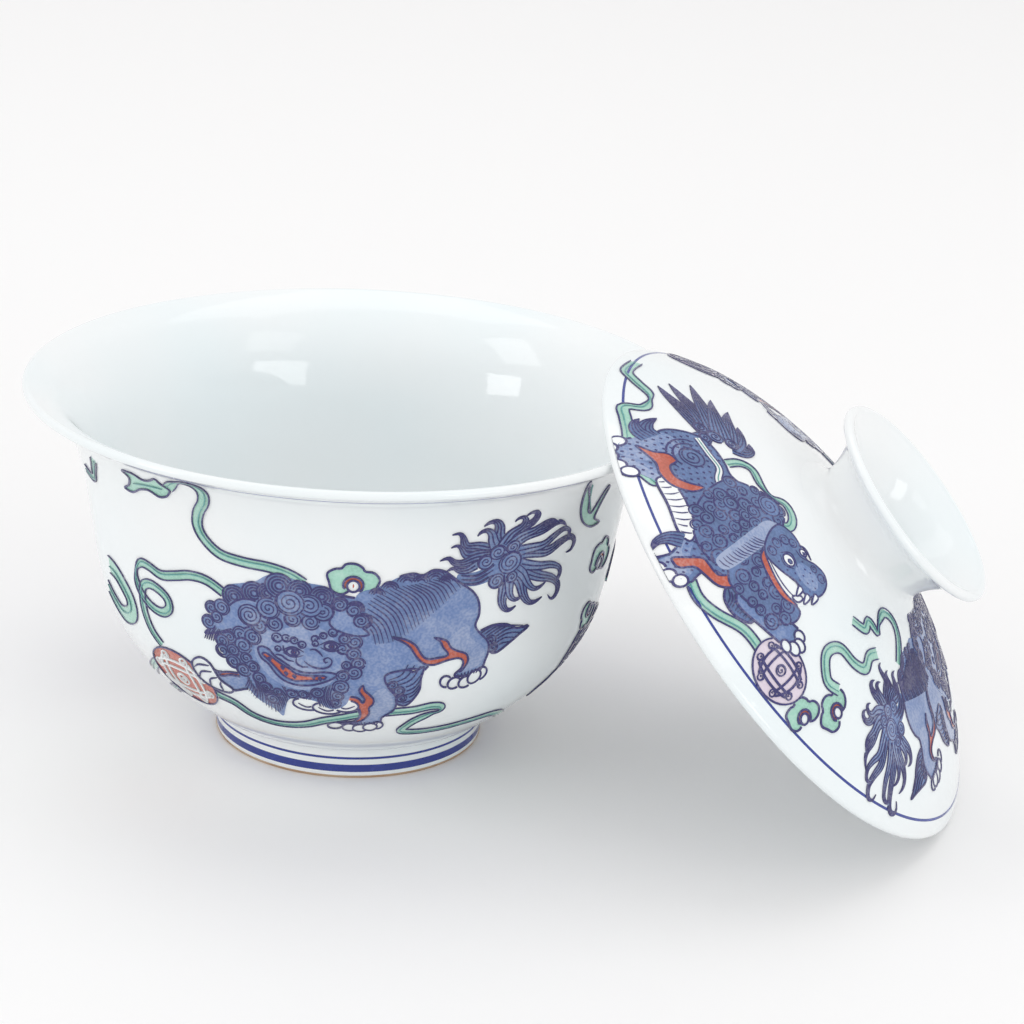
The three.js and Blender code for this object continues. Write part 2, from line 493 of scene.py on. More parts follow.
class Sheet:
    """A flat drawing: filled shapes and brush strokes, each with a colour. Later ones cover earlier ones."""

    def __init__(self):
        self.fills = []
        self.strokes = []

    def fill(self, colour, outline, tone=0.5, edge=None):
        """A filled shape, its edge drawn too where the edge's colour is given. It hides older strokes."""
        self.hide(outline)
        self.fills.append((colour, np.array(outline, float), tone))
        if edge:
            self.stroke([*outline, outline[0]], colour=edge, taper=0)

    def stroke(self, points, width=0.3, colour="line", taper=0.3):
        """A brush stroke that thins towards both ends over this share of its length."""
        points = evenly(points, max(0.4, width * 0.9)) if len(points) > 1 else None
        if points is None or len(points) < 2:
            return
        along = np.linspace(0, 1, len(points))
        thin = np.minimum(along, 1 - along) / taper if taper else np.ones(len(points))
        half = width / 2 * np.clip(0.3 + 0.7 * thin, 0.3, 1)
        self.strokes.append((colour, points, half))

    def hide(self, outline):
        """Cuts away the parts of the strokes so far that lie inside an outline."""
        outline = np.array(outline, float)
        low, high = outline.min(0), outline.max(0)
        kept = []
        for colour, points, half in self.strokes:
            apart = (points.max(0) < low).any() or (points.min(0) > high).any()
            hidden = np.zeros(len(points), bool) if apart else inside(points, outline)
            if not hidden.any():
                kept.append((colour, points, half))
                continue
            runs = np.flatnonzero(np.diff(np.concatenate([[1], hidden.astype(int), [1]])))
            for start, end in zip(runs[::2], runs[1::2]):
                if end - start > 1:
                    kept.append((colour, points[start:end], half[start:end]))
        self.strokes = kept

    def curl(self, x, y, radius, turns=2.2, start=0.0, hand=1, fill=None, tone=0.58, colour="line"):
        """A round lock of hair, wound in to its middle."""
        ring = oval(x, y, radius, radius, 18)
        if fill:
            self.fill(fill, ring, tone)
        else:
            self.hide(ring)
        winding = []
        steps = int(14 * turns) + 1
        for k in range(steps):
            t = k / (steps - 1)
            angle = start + hand * math.tau * turns * t
            reach = radius * (1 - 0.93 * t)
            winding.append((x + reach * math.cos(angle), y + reach * math.sin(angle)))
        self.stroke([*ring[::hand], ring[0]], 0.2, colour, taper=0)
        self.stroke(winding, 0.18, colour, taper=0)

    def lock(self, points, width, lines=3, tone=0.66, fill="wash"):
        """A tapering lock of hair along a curve, with lines that run together at its tip."""
        middle = evenly(smooth(points, 8), 0.45)
        side = across(middle)
        half = width / 2 * (1 - np.linspace(0, 1, len(middle)) ** 1.6)[:, None]
        left, right = middle + side * half, middle - side * half
        if fill:
            self.fill(fill, [*left, *right[::-1][1:]], tone)
        for share in np.linspace(-1, 1, lines):
            self.stroke(middle + side * half * share, 0.18, taper=0.12)

    def ribbon(self, points, width=1.7, lines=(-0.25,), colour="green", tone=0.6, pinch=()):
        """A floating ribbon along a curve. It turns over, and narrows, at the shares of length in pinch."""
        middle = evenly(smooth(points, 8), 0.5)
        along = np.linspace(0, 1, len(middle))
        half = np.full(len(middle), width / 2)
        for share in pinch:
            half *= 1 - 0.72 * np.exp(-(((along - share) * len(middle) * 0.5 / 1.6) ** 2))
        side = across(middle) * half[:, None]
        step = 12
        for start in range(0, len(middle) - 1, step):
            end = min(start + step + 1, len(middle))
            part = [*(middle + side)[start:end], *(middle - side)[start:end][::-1]]
            self.hide(part)
            self.fills.append((colour, np.array(part), tone))
        for share in (1, -1):
            self.stroke(middle + side * share, 0.19, colour="line", taper=0.02)
        for share in lines:
            self.stroke(middle + side * share, 0.16, colour="deep_green", taper=0.1)

    def hatch(self, starts, ends, count, bulge=0.0, width=0.2, colour="line"):
        """Strokes side by side from one curve to another, each bowed left by a share of its length."""
        starts, ends = (evenly(smooth(g, 8), 0.2) for g in (starts, ends))
        for t in np.linspace(0, 1, count):
            a, b = starts[int(t * (len(starts) - 1))], ends[int(t * (len(ends) - 1))]
            bow = np.array([a[1] - b[1], b[0] - a[0]]) * bulge
            self.stroke(smooth([a, (a + b) / 2 + bow, b], 6), width, colour, taper=0.35)

    def add(self, other, move):
        """Adds a moved copy of another sheet. move takes points to points."""
        for colour, outline, tone in other.fills:
            placed = move(outline)
            self.hide(placed)
            self.fills.append((colour, placed, tone))
        one, other_one = move([(0, 0), (1, 0)])
        size = math.hypot(*(np.array(one) - other_one))
        self.strokes += [(colour, move(points), half * size) for colour, points, half in other.strokes]


def inside(points, outline):
    """Which points lie inside a closed outline."""
    x, y = np.array(points, float).T
    outline = np.array(outline, float)
    found = np.zeros(len(x), bool)
    for (ax, ay), (bx, by) in zip(outline, np.roll(outline, -1, axis=0)):
        if ay != by:
            crosses = (ay > y) != (by > y)
            found ^= crosses & (x < (bx - ax) * (y - ay) / (by - ay) + ax)
    return found


def loop(points, steps=5):
    return smooth(points, steps, closed=True)


def oval(x, y, wide, tall, count):
    """Points round an oval from its centre and its half width and half height."""
    return [(x + wide * math.cos(a), y + tall * math.sin(a))
            for a in np.linspace(0, math.tau, count + 1)[:-1]]


def toes(sheet, places):
    """White toes with outlines, from the furthest to the nearest."""
    for x, y, wide, tall, turn in places:
        c, s = math.cos(turn), math.sin(turn)
        ring = [(x + wide * math.cos(a) * c - tall * math.sin(a) * s,
                 y + wide * math.cos(a) * s + tall * math.sin(a) * c)
                for a in np.linspace(0, math.tau, 17)[:-1]]
        sheet.fill("white", ring, 1.0, edge="line")


def ball(sheet, x, y, wide, tall, colour, lines):
    """A brocade ball: crossing bands between rows of small marks."""
    ring = oval(x, y, wide, tall, 32)
    sheet.fill(colour, ring, 0.62 if colour == "red" else 0.95)
    sheet.stroke([*ring, ring[0]], 0.24, taper=0)
    for shift in (-0.62, -0.38, 0.38, 0.62):
        reach = math.sqrt(1 - shift**2) * 0.94
        for flip in (False, True):
            bow = [(t * reach, shift * (1 - 0.35 * t * t)) for t in np.linspace(-1, 1, 9)]
            band = [(x + (b if flip else a) * wide, y + (a if flip else b) * tall) for a, b in bow]
            sheet.stroke(band, 0.34, colour=lines, taper=0.05)
    for a in range(8):
        angle = a * math.tau / 8 + 0.39
        sheet.curl(x + wide * 0.78 * math.cos(angle), y + tall * 0.78 * math.sin(angle),
                   min(wide, tall) * 0.13, 1.2, angle, colour=lines)
    sheet.curl(x, y, min(wide, tall) * 0.2, 1.6, colour=lines)


def cloud_knot(sheet, x, y, size=1.0, turn=0.0):
    """A scalloped green knot with a red crescent in its mouth."""
    c, s = math.cos(turn) * size, math.sin(turn) * size

    def at(points):
        return [(x + a * c - b * s, y + a * s + b * c) for a, b in points]

    lobes = [(-3.4, -0.5), (-3.7, 1.0), (-2.6, 1.9), (-1.7, 2.0), (-1.1, 2.8), (0.2, 2.9), (1.2, 2.3),
             (1.6, 1.6), (2.8, 1.4), (3.7, 0.2), (3.2, -1.2), (1.8, -1.9), (0, -1.5), (-1.6, -2.4),
             (-3.0, -1.8)]
    sheet.fill("green", at(loop(lobes)), 0.5, edge="line")
    arch = [(1.45 * math.cos(a), -0.8 + 1.5 * math.sin(a)) for a in np.linspace(-0.6, math.pi + 0.4, 15)]
    sheet.fill("red", at(arch), 0.5, edge="line")
    sheet.fill("white", at(oval(0, -0.95, 0.9, 1.0, 14)), 0.5, edge="line")


def blade(sheet, outline, veins=()):
    """A torn ribbon end with an outline and a few veins."""
    sheet.fill("green", loop(outline, 4), 0.5, edge="line")
    for vein in veins:
        sheet.stroke(smooth(vein, 6), 0.2, colour="deep_green")


def curls(sheet, places, fill=None, turns=2.2):
    """Locks of hair at the given places, each (x, y, radius). Every second one is wound the other way."""
    for k, (x, y, radius) in enumerate(places):
        wound = turns + 0.5 if radius > 1.5 else turns - 0.4 * (radius < 1.05)
        sheet.curl(x, y, radius, wound, start=2.4 * k, hand=1 if k % 2 else -1, fill=fill)


def facing_lion():
    """A guardian lion that walks left and turns its face to the front, with a tail like a sunburst."""
    lion = Sheet()
    # the tail
    lion.fill("wash", loop([(15, 42.4), (18, 42.5), (20.5, 43.6), (21, 41.2), (18.4, 40.1), (15.5, 40.6)]),
              0.45)
    for start, end in (((15.5, 42.2), (20.5, 43.2)), ((15.6, 41.5), (20.5, 42.5)),
                       ((15.8, 40.8), (20.5, 41.6))):
        lion.stroke(smooth([start, ((start[0] + end[0]) / 2, start[1] - 0.3), end]))
    locks = [
        [(20.5, 45.6), (17.6, 46.9), (15.6, 47.3), (14.9, 49.0), (14.2, 49.9), (13.2, 49.7)],
        [(21.0, 46.5), (20.3, 48.6), (20.1, 50.3), (19.3, 51.5), (18.3, 51.5), (17.6, 50.8)],
        [(21.6, 46.6), (23.4, 49.0), (25.4, 49.9), (26.0, 51.1), (25.5, 52.1), (24.6, 52.2), (24.0, 51.6)],
        [(22.6, 46.0), (25.0, 47.6), (28.0, 47.9), (30.2, 48.6), (31.6, 48.4), (32.9, 47.3)],
        [(23.6, 45.0), (27.0, 44.3), (30.0, 43.7), (32.4, 44.6), (34.4, 45.0), (35.8, 43.9), (35.5, 42.5),
         (34.4, 42.2)],
        [(23.6, 43.0), (26.6, 41.0), (29.2, 39.6), (32.0, 38.5), (33.9, 36.9), (34.0, 35.3), (33.0, 34.6),
         (32.0, 35.6)],
        [(23.6, 42.0), (25.6, 39.6), (26.7, 37.0), (28.0, 35.4), (29.4, 35.1), (30.7, 35.6)],
        [(23.0, 41.4), (22.9, 38.6), (22.9, 36.6), (23.6, 35.2), (24.6, 34.8), (25.6, 35.3)],
        [(20.6, 44.6), (17.6, 44.9), (15.6, 44.3), (14.2, 44.6), (13.2, 45.5), (12.0, 45.1)],
    ]
    heart = np.array((22.2, 43.6))
    for points in locks:
        lion.lock(points, 2.1, lines=4)
        c, s = math.cos(0.2), math.sin(0.2)
        beside = [heart + 0.88 * np.array((x * c - y * s, x * s + y * c))
                  for x, y in np.array(points) - heart]
        lion.lock(beside, 1.7, lines=3)
    lion.fills.append(("wash", np.array(oval(22.4, 43.6, 3.3, 3.5, 24)), 0.5))
    curls(lion, [(23.9, 40.6, 0.95), (21.3, 40.4, 1.25), (19.1, 44.1, 1.3), (23.2, 46.0, 1.1),
                 (20.8, 45.5, 1.25), (23.2, 43.3, 1.9)], fill="wash")

    # the heel's tuft, then the body with its hind leg and near foreleg
    tuft = [(19.4, 31.6), (20.7, 32.4), (22.4, 32.7), (24.6, 32.3), (26.6, 31.2), (29.0, 31.1),
            (27.2, 29.9), (25.6, 28.8), (23.4, 27.5), (21.9, 28.2), (21.4, 30.0)]
    lion.fill("wash", loop(tuft), 0.5, edge="line")
    lion.hatch([(19.9, 31.6), (21.6, 29.6), (22.4, 28.0)], [(24.6, 32.1), (28.6, 31.0), (25.6, 29.0)], 8,
               0.16, 0.15)
    curls(lion, [(22.0, 30.0, 0.9), (22.6, 28.6, 0.85)])
    body = [(-12, 34), (-6, 39.5), (1.5, 39.0), (3.5, 40.8), (5.6, 41.8), (6.6, 42.8), (8.4, 43.2),
            (9.8, 42.8), (11.2, 43.6), (12.8, 43.3), (14.2, 42.2), (15.6, 40.9), (17.7, 39.2), (18.9, 37.2),
            (19.2, 35.0), (18.8, 33.3), (19.7, 31.8), (21.4, 30.0), (21.9, 28.2), (21.6, 26.4),
            (21.3, 25.3), (19, 24.2), (16.6, 24.5), (17.7, 25.8), (18.0, 27.0), (17.0, 27.8), (14.6, 27.6),
            (12.4, 27.2), (11.2, 26.0), (9.4, 26.6), (5.6, 25.2), (6.0, 23.2), (7.4, 21.2), (7.8, 18.8),
            (7.2, 17.2), (5.8, 15.8), (5.5, 14.3), (2.6, 13.6), (-1.4, 14.0), (0.8, 14.5), (1.8, 15.9),
            (1.6, 17.8), (0.2, 19.6), (-3, 20.4), (-10, 21)]
    lion.fill("wash", loop(body, 4), 0.62, edge="line")
    # the haunch is paler towards the legs
    lion.fill("wash", loop([(13.4, 30), (17.4, 33.6), (18.4, 31), (20.9, 29), (21.2, 26.4), (19, 25),
                            (17.2, 25), (18.4, 26.8), (17.4, 28.4), (14.6, 28.4)], 4), 0.8)
    lion.fill("wash", loop([(3.4, 21), (5.4, 23), (7.0, 20.4), (7.1, 17.8), (5.2, 16), (4.8, 14.4),
                            (2.2, 14.3), (2.9, 17)], 4), 0.8)
    toes(lion, [(15.4, 23.4, 0.95, 1.25, 0.5), (21.3, 24.0, 1.15, 1.3, -0.4), (16.9, 22.9, 1.1, 1.2, 0.2),
                (18.9, 22.8, 1.2, 1.2, -0.1), (20.3, 23.6, 1.15, 1.35, -0.2)])
    toes(lion, [(-2.4, 13.0, 1.45, 1.05, 0.3), (5.2, 13.3, 1.1, 1.2, 0.2), (0.2, 12.6, 1.3, 1.25, 0.1),
                (2.2, 12.4, 1.4, 1.3, 0), (4.0, 12.8, 1.3, 1.25, 0.2)])
    lion.hatch([(16.6, 24.6), (21.4, 25.4)], [(17.0, 24.0), (21.0, 24.4)], 9, 0)
    lion.hatch([(-0.6, 14.3), (5.3, 14.6)], [(-0.2, 13.6), (5.1, 13.7)], 9, 0)
    # the knee's tuft
    knee = [(5.5, 25.6), (5.9, 23.4), (7.4, 21.6), (7.7, 19.7), (8.6, 18.9), (9.7, 19.0), (10.6, 20.5),
            (11.2, 22.4), (11.1, 24.6), (11.3, 26.8), (9.8, 25.9), (8.6, 26.4)]
    lion.fill("wash", loop(knee), 0.48, edge="line")
    lion.hatch([(6.0, 24.6), (8.0, 21.6), (8.8, 19.4)], [(8.8, 27.4), (11.2, 26.4), (10.9, 21.6)], 8, -0.18,
               0.15)
    curls(lion, [(6.7, 23.5, 0.85), (7.9, 22.3, 0.9), (8.5, 20.6, 0.85)])
    # hair along the back, over darker colour
    lion.fill("wash", loop([(0.5, 39.4), (3.5, 40.9), (6.6, 42.7), (8.4, 43.0), (9.8, 42.7), (11.2, 43.4),
                            (12.8, 43.1), (14.6, 41.8), (15.6, 40.4), (13.8, 39.0), (11.8, 36.8),
                            (8.8, 34.2), (6.2, 31.6), (3.4, 31.6), (1, 34)], 4), 0.5)
    lion.hatch([(1.2, 35.2), (2.4, 38.6), (5.4, 40.8), (9.0, 41.4), (12.6, 42.4)],
               [(3.6, 31.2), (6.6, 31.8), (9.0, 33.6), (12.0, 36.4), (15.6, 40.2)], 24, 0.13)
    for x, y, radius in ((3.4, 39.6, 1.2), (5.2, 40.6, 1.3), (7.6, 41.6, 1.5), (9.6, 41.6, 1.3),
                         (11.6, 42.0, 1.5), (13.4, 41.4, 1.2)):
        for share in (1.0, 0.72, 0.44):
            arc = [(x + radius * share * math.cos(a), y + radius * share * math.sin(a))
                   for a in np.linspace(0.1, 2.9, 8)]
            lion.stroke(arc, 0.26)

    # the far foreleg, reaching to the ball
    arm = [(-14, 23.4), (-17.5, 23.2), (-20.5, 22.8), (-22.4, 22.6), (-23.4, 23.6), (-24.8, 24.2),
           (-25.4, 22.6), (-24.0, 21.4), (-21.6, 20.4), (-20.2, 18.9), (-17.0, 20.2), (-14, 20.6)]
    lion.fill("wash", loop(arm, 4), 0.66, edge="line")
    lion.fill("white", loop([(-23.2, 23.7), (-25.2, 24.4), (-27.2, 22.6), (-26.6, 19.8), (-24.2, 18.2),
                             (-21.2, 18.0), (-20.0, 19.2), (-22.0, 20.8)], 4), 1.0, edge="line")
    for points in ([(-23.6, 23.2), (-25.8, 22.8), (-27.0, 21.8)],
                   [(-23.4, 22.0), (-25.6, 21.4), (-26.4, 20.0)],
                   [(-22.6, 21.0), (-24.2, 20.2), (-24.6, 18.6)],
                   [(-22.0, 20.4), (-22.4, 19.4), (-22.2, 18.2)]):
        lion.stroke(smooth(points), 0.28)
    lion.fill("red", loop([(-22.0, 22.1), (-20.4, 22.9), (-18.2, 23.2), (-17.6, 22.7), (-19.6, 22.5),
                           (-21.4, 21.8)],
                          4), 0.5, edge="line")

    # red flames on the legs
    for flame in (
        [(6.0, 32.4), (8.0, 31.9), (9.6, 30.8), (10.6, 29.2), (11.6, 28.2), (13.4, 28.2), (15.0, 28.6),
         (14.0, 30.0), (13.4, 31.2), (12.4, 31.9), (14.4, 31.2), (15.2, 29.9), (16.4, 29.1), (17.9, 28.4),
         (18.5, 27.2), (18.2, 26.0), (17.4, 25.0), (17.8, 26.6), (17.0, 27.7), (15.0, 27.6), (12.9, 27.0),
         (11.2, 27.4), (9.9, 28.8), (8.9, 30.4), (7.8, 31.4)],
        [(-0.9, 20.6), (0.4, 21.1), (1.6, 20.6), (2.2, 19.6), (2.5, 20.6), (1.9, 21.6), (1.5, 22.6),
         (2.1, 23.6), (2.3, 22.6), (3.2, 21.6), (3.9, 20.6), (3.9, 19.4), (3.3, 18.5), (3.5, 17.0),
         (2.9, 15.6), (2.0, 14.7), (0.6, 14.1), (1.8, 15.6), (2.0, 17.2), (1.4, 18.9), (0.4, 19.9)],
    ):
        lion.fill("red", loop(flame, 3), 0.5, edge="line")

    # white plates under the chin
    for x, y, wide in ((-7.0, 18.6, 2.4), (-3.6, 18.0, 2.5), (-0.6, 18.8, 2.2)):
        plate = oval(x, y, wide, 1.5, 16)
        lion.fill("white", plate, 1.0, edge="line")
        lion.stroke(smooth([(x - wide * 0.6, y + 0.1), (x, y - 0.7), (x + wide * 0.7, y + 0.1)]), 0.22)

    facing_head(lion)
    return lion


def facing_head(lion):
    """The facing lion's head: a mane of round curls about a broad face with its mouth open."""
    mane = [(-19.6, 36.2), (-18.6, 38.6), (-16.6, 39.4), (-14.2, 40.2), (-12.6, 41.4), (-10.6, 42.1),
            (-8.2, 41.4), (-6.0, 41.0), (-3.8, 40.7), (-2.6, 39.2), (-0.6, 39.2), (1.6, 38.0), (2.6, 35.6),
            (2.4, 32.0), (2.6, 28.0), (2.0, 25.0), (0.4, 22.0), (-0.6, 19.0), (-3.0, 17.8), (-5.6, 19.6),
            (-9.6, 19.6), (-11.0, 16.6), (-11.8, 14.4), (-13.0, 16.2), (-15.6, 18.2), (-17.4, 21.6),
            (-18.6, 24.2), (-20.4, 26.6), (-21.4, 28.6), (-19.6, 31.0), (-21.0, 33.4)]
    lion.fill("wash", loop(mane, 4), 0.56)
    # fans behind the crown
    for x, y, radius in ((-17.6, 37.0, 1.9), (-14.4, 38.2, 1.9), (-12.4, 38.6, 1.6), (-10.6, 40.1, 2.1),
                         (-7.6, 39.6, 1.8), (-4.4, 39.0, 1.7), (-1.8, 37.9, 1.2), (0.4, 37.2, 1.3),
                         (1.6, 35.2, 1.3)):
        ring = oval(x, y, radius, radius, 18)
        lion.hide(ring)
        for share in (1.0, 0.76, 0.52, 0.28):
            lion.stroke([(x + (a - x) * share, y + (b - y) * share) for a, b in [*ring, ring[0]]], 0.26,
                        taper=0)
    # ears
    ear = [(-23.2, 29.4), (-21.2, 31.6), (-19.6, 33.6), (-18.2, 35.6), (-16.2, 36.9), (-14.0, 36.8),
           (-13.4, 35.0), (-14.6, 33.0), (-16.4, 31.8), (-18.6, 31.2), (-20.6, 30.2)]
    lion.fill("wash", loop(ear, 4), 0.66, edge="line")
    lion.hatch([(-23.4, 28.4), (-20.2, 28.2)], [(-21.8, 31.0), (-19.4, 30.6)], 9, 0.05)
    far_ear = [(-3.2, 34.4), (-2.8, 36.4), (-1.6, 37.2), (-0.4, 36.8), (0.6, 35.6), (1.4, 34.2),
               (2.6, 32.9), (0.6, 32.6), (-1.6, 33.2)]
    lion.fill("wash", loop(far_ear, 4), 0.62, edge="line")
    curls(lion, [(-21.6, 34.2, 1.1), (-19.8, 34.7, 1.3), (-22.3, 31.6, 1.2), (-20.8, 32.8, 0.95)],
          fill="wash")

    # the face
    face = [(-13.6, 31.6), (-11.0, 32.6), (-7.6, 33.6), (-4.4, 33.6), (-2.4, 31.6), (-1.2, 29.6),
            (-0.8, 27.8), (-1.8, 26.0), (-2.6, 24.4), (-4.0, 22.9), (-7.0, 22.0), (-10.2, 22.3),
            (-12.6, 23.8), (-14.2, 26.0), (-14.8, 28.6)]
    lion.fill("wash", loop(face, 4), 0.78)
    lion.fill("wash", loop([(-8.2, 28.2), (-6.4, 30.0), (-4.2, 29.6), (-2.6, 28.4), (-1.6, 28.8),
                            (-1.6, 27.0), (-3.4, 26.0), (-6.6, 26.2)], 4), 0.66)
    curls(lion, [(-16.9, 30.7, 1.35), (-14.9, 30.6, 1.3), (-18.8, 29.8, 1.05), (-20.2, 28.8, 1.15),
                 (-16.6, 28.8, 1.4), (-20.3, 27.0, 1.25), (-18.4, 27.5, 1.05), (-16.3, 26.6, 0.95),
                 (-18.6, 25.4, 1.25), (-15.3, 25.2, 1.05), (-17.0, 24.2, 1.25), (-14.5, 23.1, 1.1),
                 (-13.6, 21.4, 1.15)])
    curls(lion, [(-1.2, 30.3, 1.0), (0.5, 31.5, 1.15), (-1.0, 32.0, 0.85), (0.4, 29.4, 1.1),
                 (1.2, 27.7, 1.05), (0.6, 26.0, 1.2), (-0.6, 27.3, 0.75), (-1.1, 25.3, 1.05),
                 (-1.4, 23.1, 1.3), (-1.8, 21.1, 0.95), (-2.2, 19.4, 0.95)])
    curls(lion, [(-1.8, 37.8, 1.05), (0.2, 36.9, 1.0), (1.3, 35.2, 1.1), (-8.7, 34.7, 1.25),
                 (-6.0, 34.5, 1.3), (-11.4, 33.5, 1.2), (-13.9, 32.7, 1.25), (-4.2, 36.5, 1.6),
                 (-15.3, 34.3, 1.8), (-12.3, 36.0, 1.8), (-6.2, 37.3, 1.9), (-9.1, 37.4, 2.15)])
    # beard
    lion.hatch([(-15.4, 22.6), (-12.8, 21.2), (-10.6, 21.6)], [(-15.6, 18.4), (-12.6, 15.4), (-9.8, 19.6)],
               15, 0.08)
    lion.hatch([(-16.4, 23.4), (-15.4, 20.6)], [(-17.4, 20.6), (-16.0, 18.2)], 6, 0.1)
    lion.hatch([(-10.8, 22.2), (-7.0, 21.6), (-4.0, 22.4)], [(-10.2, 20.2), (-7.2, 19.8), (-4.6, 20.2)], 15,
               0.1)
    lion.hatch([(-4.4, 22.8), (-2.6, 23.6)], [(-4.8, 18.4), (-2.2, 18.0)], 8, -0.12)
    curls(lion, [(-5.1, 21.5, 1.1), (-7.4, 20.9, 0.85), (-9.3, 20.8, 0.95), (-12.8, 18.9, 1.15),
                 (-11.6, 20.8, 0.8)])

    # brows, eyes, nose and mouth
    curls(lion, [(-11.1, 31.2, 0.8), (-9.7, 31.3, 0.65), (-8.5, 31.1, 0.6), (-7.3, 30.5, 0.62),
                 (-5.3, 31.7, 0.62), (-4.1, 32.4, 0.55), (-2.7, 33.0, 0.7)], turns=1.7)
    for x, y, size in ((-8.7, 29.0, 0.62), (-3.0, 30.6, 0.62)):
        eye = oval(x, y, size * 1.6, size, 16)
        lion.fill("wash", eye, 1.0, edge="line")
        lion.fill("red", oval(x + size * 0.2, y, size * 0.6, size * 0.6, 12), 0.3, edge="line")
        lion.stroke([(x, y), (x + 0.22, y)], 0.34, taper=0)
        lion.stroke(smooth([(x - 1.7, y + 0.1), (x, y + 0.95), (x + 1.7, y + 0.2)]), 0.22)
        lion.stroke(smooth([(x - 1.5, y - 0.3), (x, y - 0.9), (x + 1.6, y - 0.4)]), 0.2)
        curls(lion, [(x - 2.3, y + 0.3, 0.5)], turns=1.2)
    for points in (
        [(-6.1, 29.7), (-5.4, 29.9), (-4.7, 29.4), (-4.2, 28.7)],
        [(-8.2, 28.0), (-8.2, 27.1), (-7.4, 26.5), (-6.4, 26.6)],
        [(-7.0, 27.6), (-6.2, 26.9), (-5.0, 26.5), (-3.8, 26.6), (-3.0, 27.2), (-2.8, 28.1), (-3.4, 28.6)],
        [(-3.4, 28.6), (-4.0, 28.2), (-3.8, 27.6), (-3.4, 27.8)],
        [(-10.2, 30.0), (-10.0, 28.9), (-9.2, 28.2)],
        [(-11.8, 28.1), (-10.6, 28.2), (-9.6, 27.5), (-8.6, 27.3)],
    ):
        lion.stroke(smooth(points), 0.3)
    lips = [(-14.2, 28.8), (-13.4, 29.3), (-12.4, 28.9), (-11.6, 27.9), (-10.2, 27.0), (-8.8, 26.0),
            (-7.4, 25.5), (-5.8, 25.5), (-4.4, 25.8), (-2.8, 25.8), (-2.0, 25.4), (-2.8, 24.6),
            (-4.4, 23.7), (-6.4, 23.0), (-8.6, 22.9), (-10.4, 23.5), (-11.7, 24.8), (-12.6, 26.2),
            (-13.8, 27.2)]
    lion.fill("wash", loop(lips, 3), 0.5, edge="line")
    mouth = [(-13.6, 27.9), (-13.0, 28.2), (-12.0, 27.6), (-10.8, 26.7), (-9.4, 25.9), (-8.4, 25.1),
             (-6.6, 24.9), (-4.4, 25.1), (-3.6, 24.9), (-4.4, 24.3), (-6.4, 24.0), (-8.6, 23.7),
             (-10.2, 24.3), (-11.2, 25.4), (-12.4, 26.8)]
    lion.fill("red", loop(mouth, 3), 0.5, edge="line")
    for x, y in ((-12.4, 27.2), (-10.4, 25.9), (-9.9, 24.9), (-8.6, 24.5), (-5.6, 24.7), (-4.6, 24.5)):
        tooth = [(x - 0.28, y + 0.22), (x + 0.28, y + 0.2), (x + 0.05, y - 0.4)]
        lion.fill("white", tooth, 1.0, edge="line")


